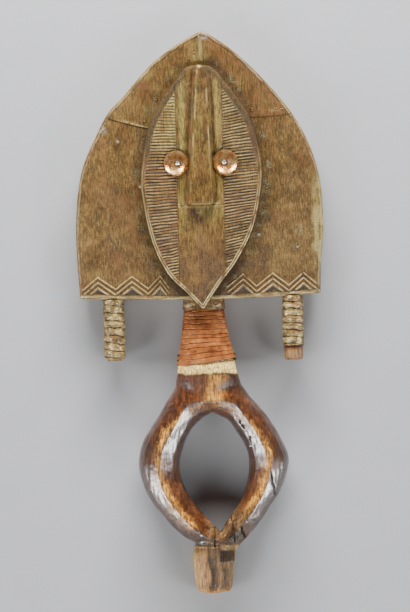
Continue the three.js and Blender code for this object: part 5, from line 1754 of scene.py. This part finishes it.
def back_rib():
    """The low rounded rib down the back, which narrows to the crown"""
    share = np.array([-1, -1, -0.93, -0.8, 0.8, 0.93, 1, 1])
    rise = np.array([9.0, 1.0, 0.3, 0, 0, 0.3, 1.0, 9.0])
    sections = []
    for t in np.linspace(0, 1, 30):
        half = lerp(RIB_FOOT_W, RIB_TOP_W, t) / 2
        sections.append(np.column_stack([share * half, np.full(len(rise), t * RIB_L), rise]))
    return sweep(sections)


def notch_block():
    """What the square notch takes out of the foot"""
    corners = np.array([[NOTCH_X + dx * NOTCH_W, NOTCH_Y - dy * NOTCH_L, FOOT_T - NOTCH_D + dz * 40]
                        for dx in (0, 1) for dy in (0, 1) for dz in (0, 1)])
    return corners, [(0, 1, 3, 2), (4, 6, 7, 5), (0, 4, 5, 1), (2, 3, 7, 6), (0, 2, 6, 4), (1, 5, 7, 3)]


def combine(body, other, operation):
    """Takes a closed form from the body, or joins it on"""
    change = body.modifiers.new(operation.lower(), "BOOLEAN")
    change.operation = operation
    change.object = other
    change.solver = "MANIFOLD"


def build_wood():
    body = show("carving", to_mesh("carving", *joined([neck_block(), lozenge_ring(), foot_block()])))
    remesh = body.modifiers.new("remesh", "REMESH")
    remesh.mode = "VOXEL"
    remesh.voxel_size = VOXEL / 1000
    soften = body.modifiers.new("soften", "SMOOTH")
    soften.factor = 0.5
    soften.iterations = 3
    bake(body)
    carve(body.data)
    cutter = show("cutter", to_mesh("cutter", *notch_block()))
    slab = plate(resample(inset(board_loop, WOOD_INSET + 0.3), WOOD_STEP),
                 lambda flat: WOOD_BACK_Z + 0.05 + 0.3 * (1 + noise(flat, (9, 30, 1), 121)),
                 lambda flat: np.full(len(flat), WOOD_FRONT_Z))
    relief = plate(resample(inset(face_loop, 1.7), WOOD_STEP),
                   lambda flat: np.full(len(flat), RELIEF_FOOT_Z),
                   lambda flat: rim_shape(flat, face_z(flat[:, 0], flat[:, 1]))[0] - 3.2)
    parts = {"slab": slab, "relief": relief, "rib": back_rib()}
    parts.update(("peg_" + side, peg_core(*peg)) for side, peg in PEGS.items())
    solids = [show(name, to_mesh(name, points, outwards(points, faces)))
              for name, (points, faces) in parts.items()]
    combine(body, cutter, "DIFFERENCE")
    for solid in solids:
        combine(body, solid, "UNION")
    mesh = bake(body)
    for solid in solids + [cutter]:
        bpy.data.objects.remove(solid)
    wood_values(mesh)
    body.name = "wood_core_carving"
    finish_piece(body, ["wood_core"], "carved_wood", WOOD, 35)


# Camera, floor and lights

VIEW_X, VIEW_Y = 3.27, 6.1
TURN = math.radians(1.4)
CAMERA_Z = 2.0
LENS = 116.8
FLOOR_HALF = 3.0
LAMPS = [
    ("key", (-0.25, -1.6, 0.85), (1.2, 0.6), 19),
    ("left", (-1.4, -0.8, 0.8), (0.7, 0.5), 14),
    ("right", (1.4, -0.75, 0.8), (0.7, 0.5), 13),
    ("behind", (0.0, 1.75, 0.5), (1.9, 0.3), 212, "visible_glossy"),
    ("above", (0.0, -0.5, 2.6), (2.4, 2.0), 8, "visible_diffuse"),
    ("sheen", (-1.3, -0.95, 0.75), (0.5, 0.32), 62, "visible_diffuse"),
    ("sheen", (1.3, -0.95, 0.75), (0.5, 0.32), 62, "visible_diffuse"),
]


def build_stage():
    camera_data = bpy.data.cameras.new("camera")
    camera_data.lens = LENS
    camera_data.sensor_fit = "VERTICAL"
    camera_data.sensor_height = 36
    camera_data.sensor_width = 36
    camera = show("camera", camera_data)
    camera.location = (VIEW_X / 1000, VIEW_Y / 1000, CAMERA_Z)
    camera.rotation_euler = (0, 0, -TURN)
    bpy.context.scene.camera = camera
    floor = show("floor", bpy.data.meshes.new("floor"))
    corners = [(x * FLOOR_HALF, y * FLOOR_HALF, 0) for x, y in ((-1, -1), (1, -1), (1, 1), (-1, 1))]
    floor.data.from_pydata(corners, [], [(0, 1, 2, 3)])
    f = Finish("floor")
    tone = f.mix(f.noise(60, 3, 0.5), (170, 171, 174), (178, 179, 182))
    floor.data.materials.append(f.done(Base_Color=tone, Roughness=0.8))
    for settings in LAMPS:
        lamp(*settings)
    world = bpy.data.worlds.new("studio")
    bpy.context.scene.world = world
    world.use_nodes = True
    background = world.node_tree.nodes["Background"]
    background.inputs[0].default_value = linear((214, 217, 222))
    background.inputs[1].default_value = 0.04


def lamp(name, place, size, power, hidden=None):
    """A rectangular softbox that looks at the figure, hidden from one kind of light or none"""
    data = bpy.data.lights.new(name, "AREA")
    data.shape = "RECTANGLE"
    data.size, data.size_y = size
    data.energy = power
    obj = show(name, data)
    obj.location = place
    obj.rotation_euler = (Vector((0, 0, 0)) - Vector(place)).to_track_quat("-Z", "Y").to_euler()
    if hidden:
        setattr(obj, hidden, False)


build_stage()
build_board()
build_face()
build_eyes()
build_tacks()
build_neck_sheet()
build_neck_winding()
build_pins()
build_peg_winding("left", 91)
build_peg_winding("right", 101)
build_wood()
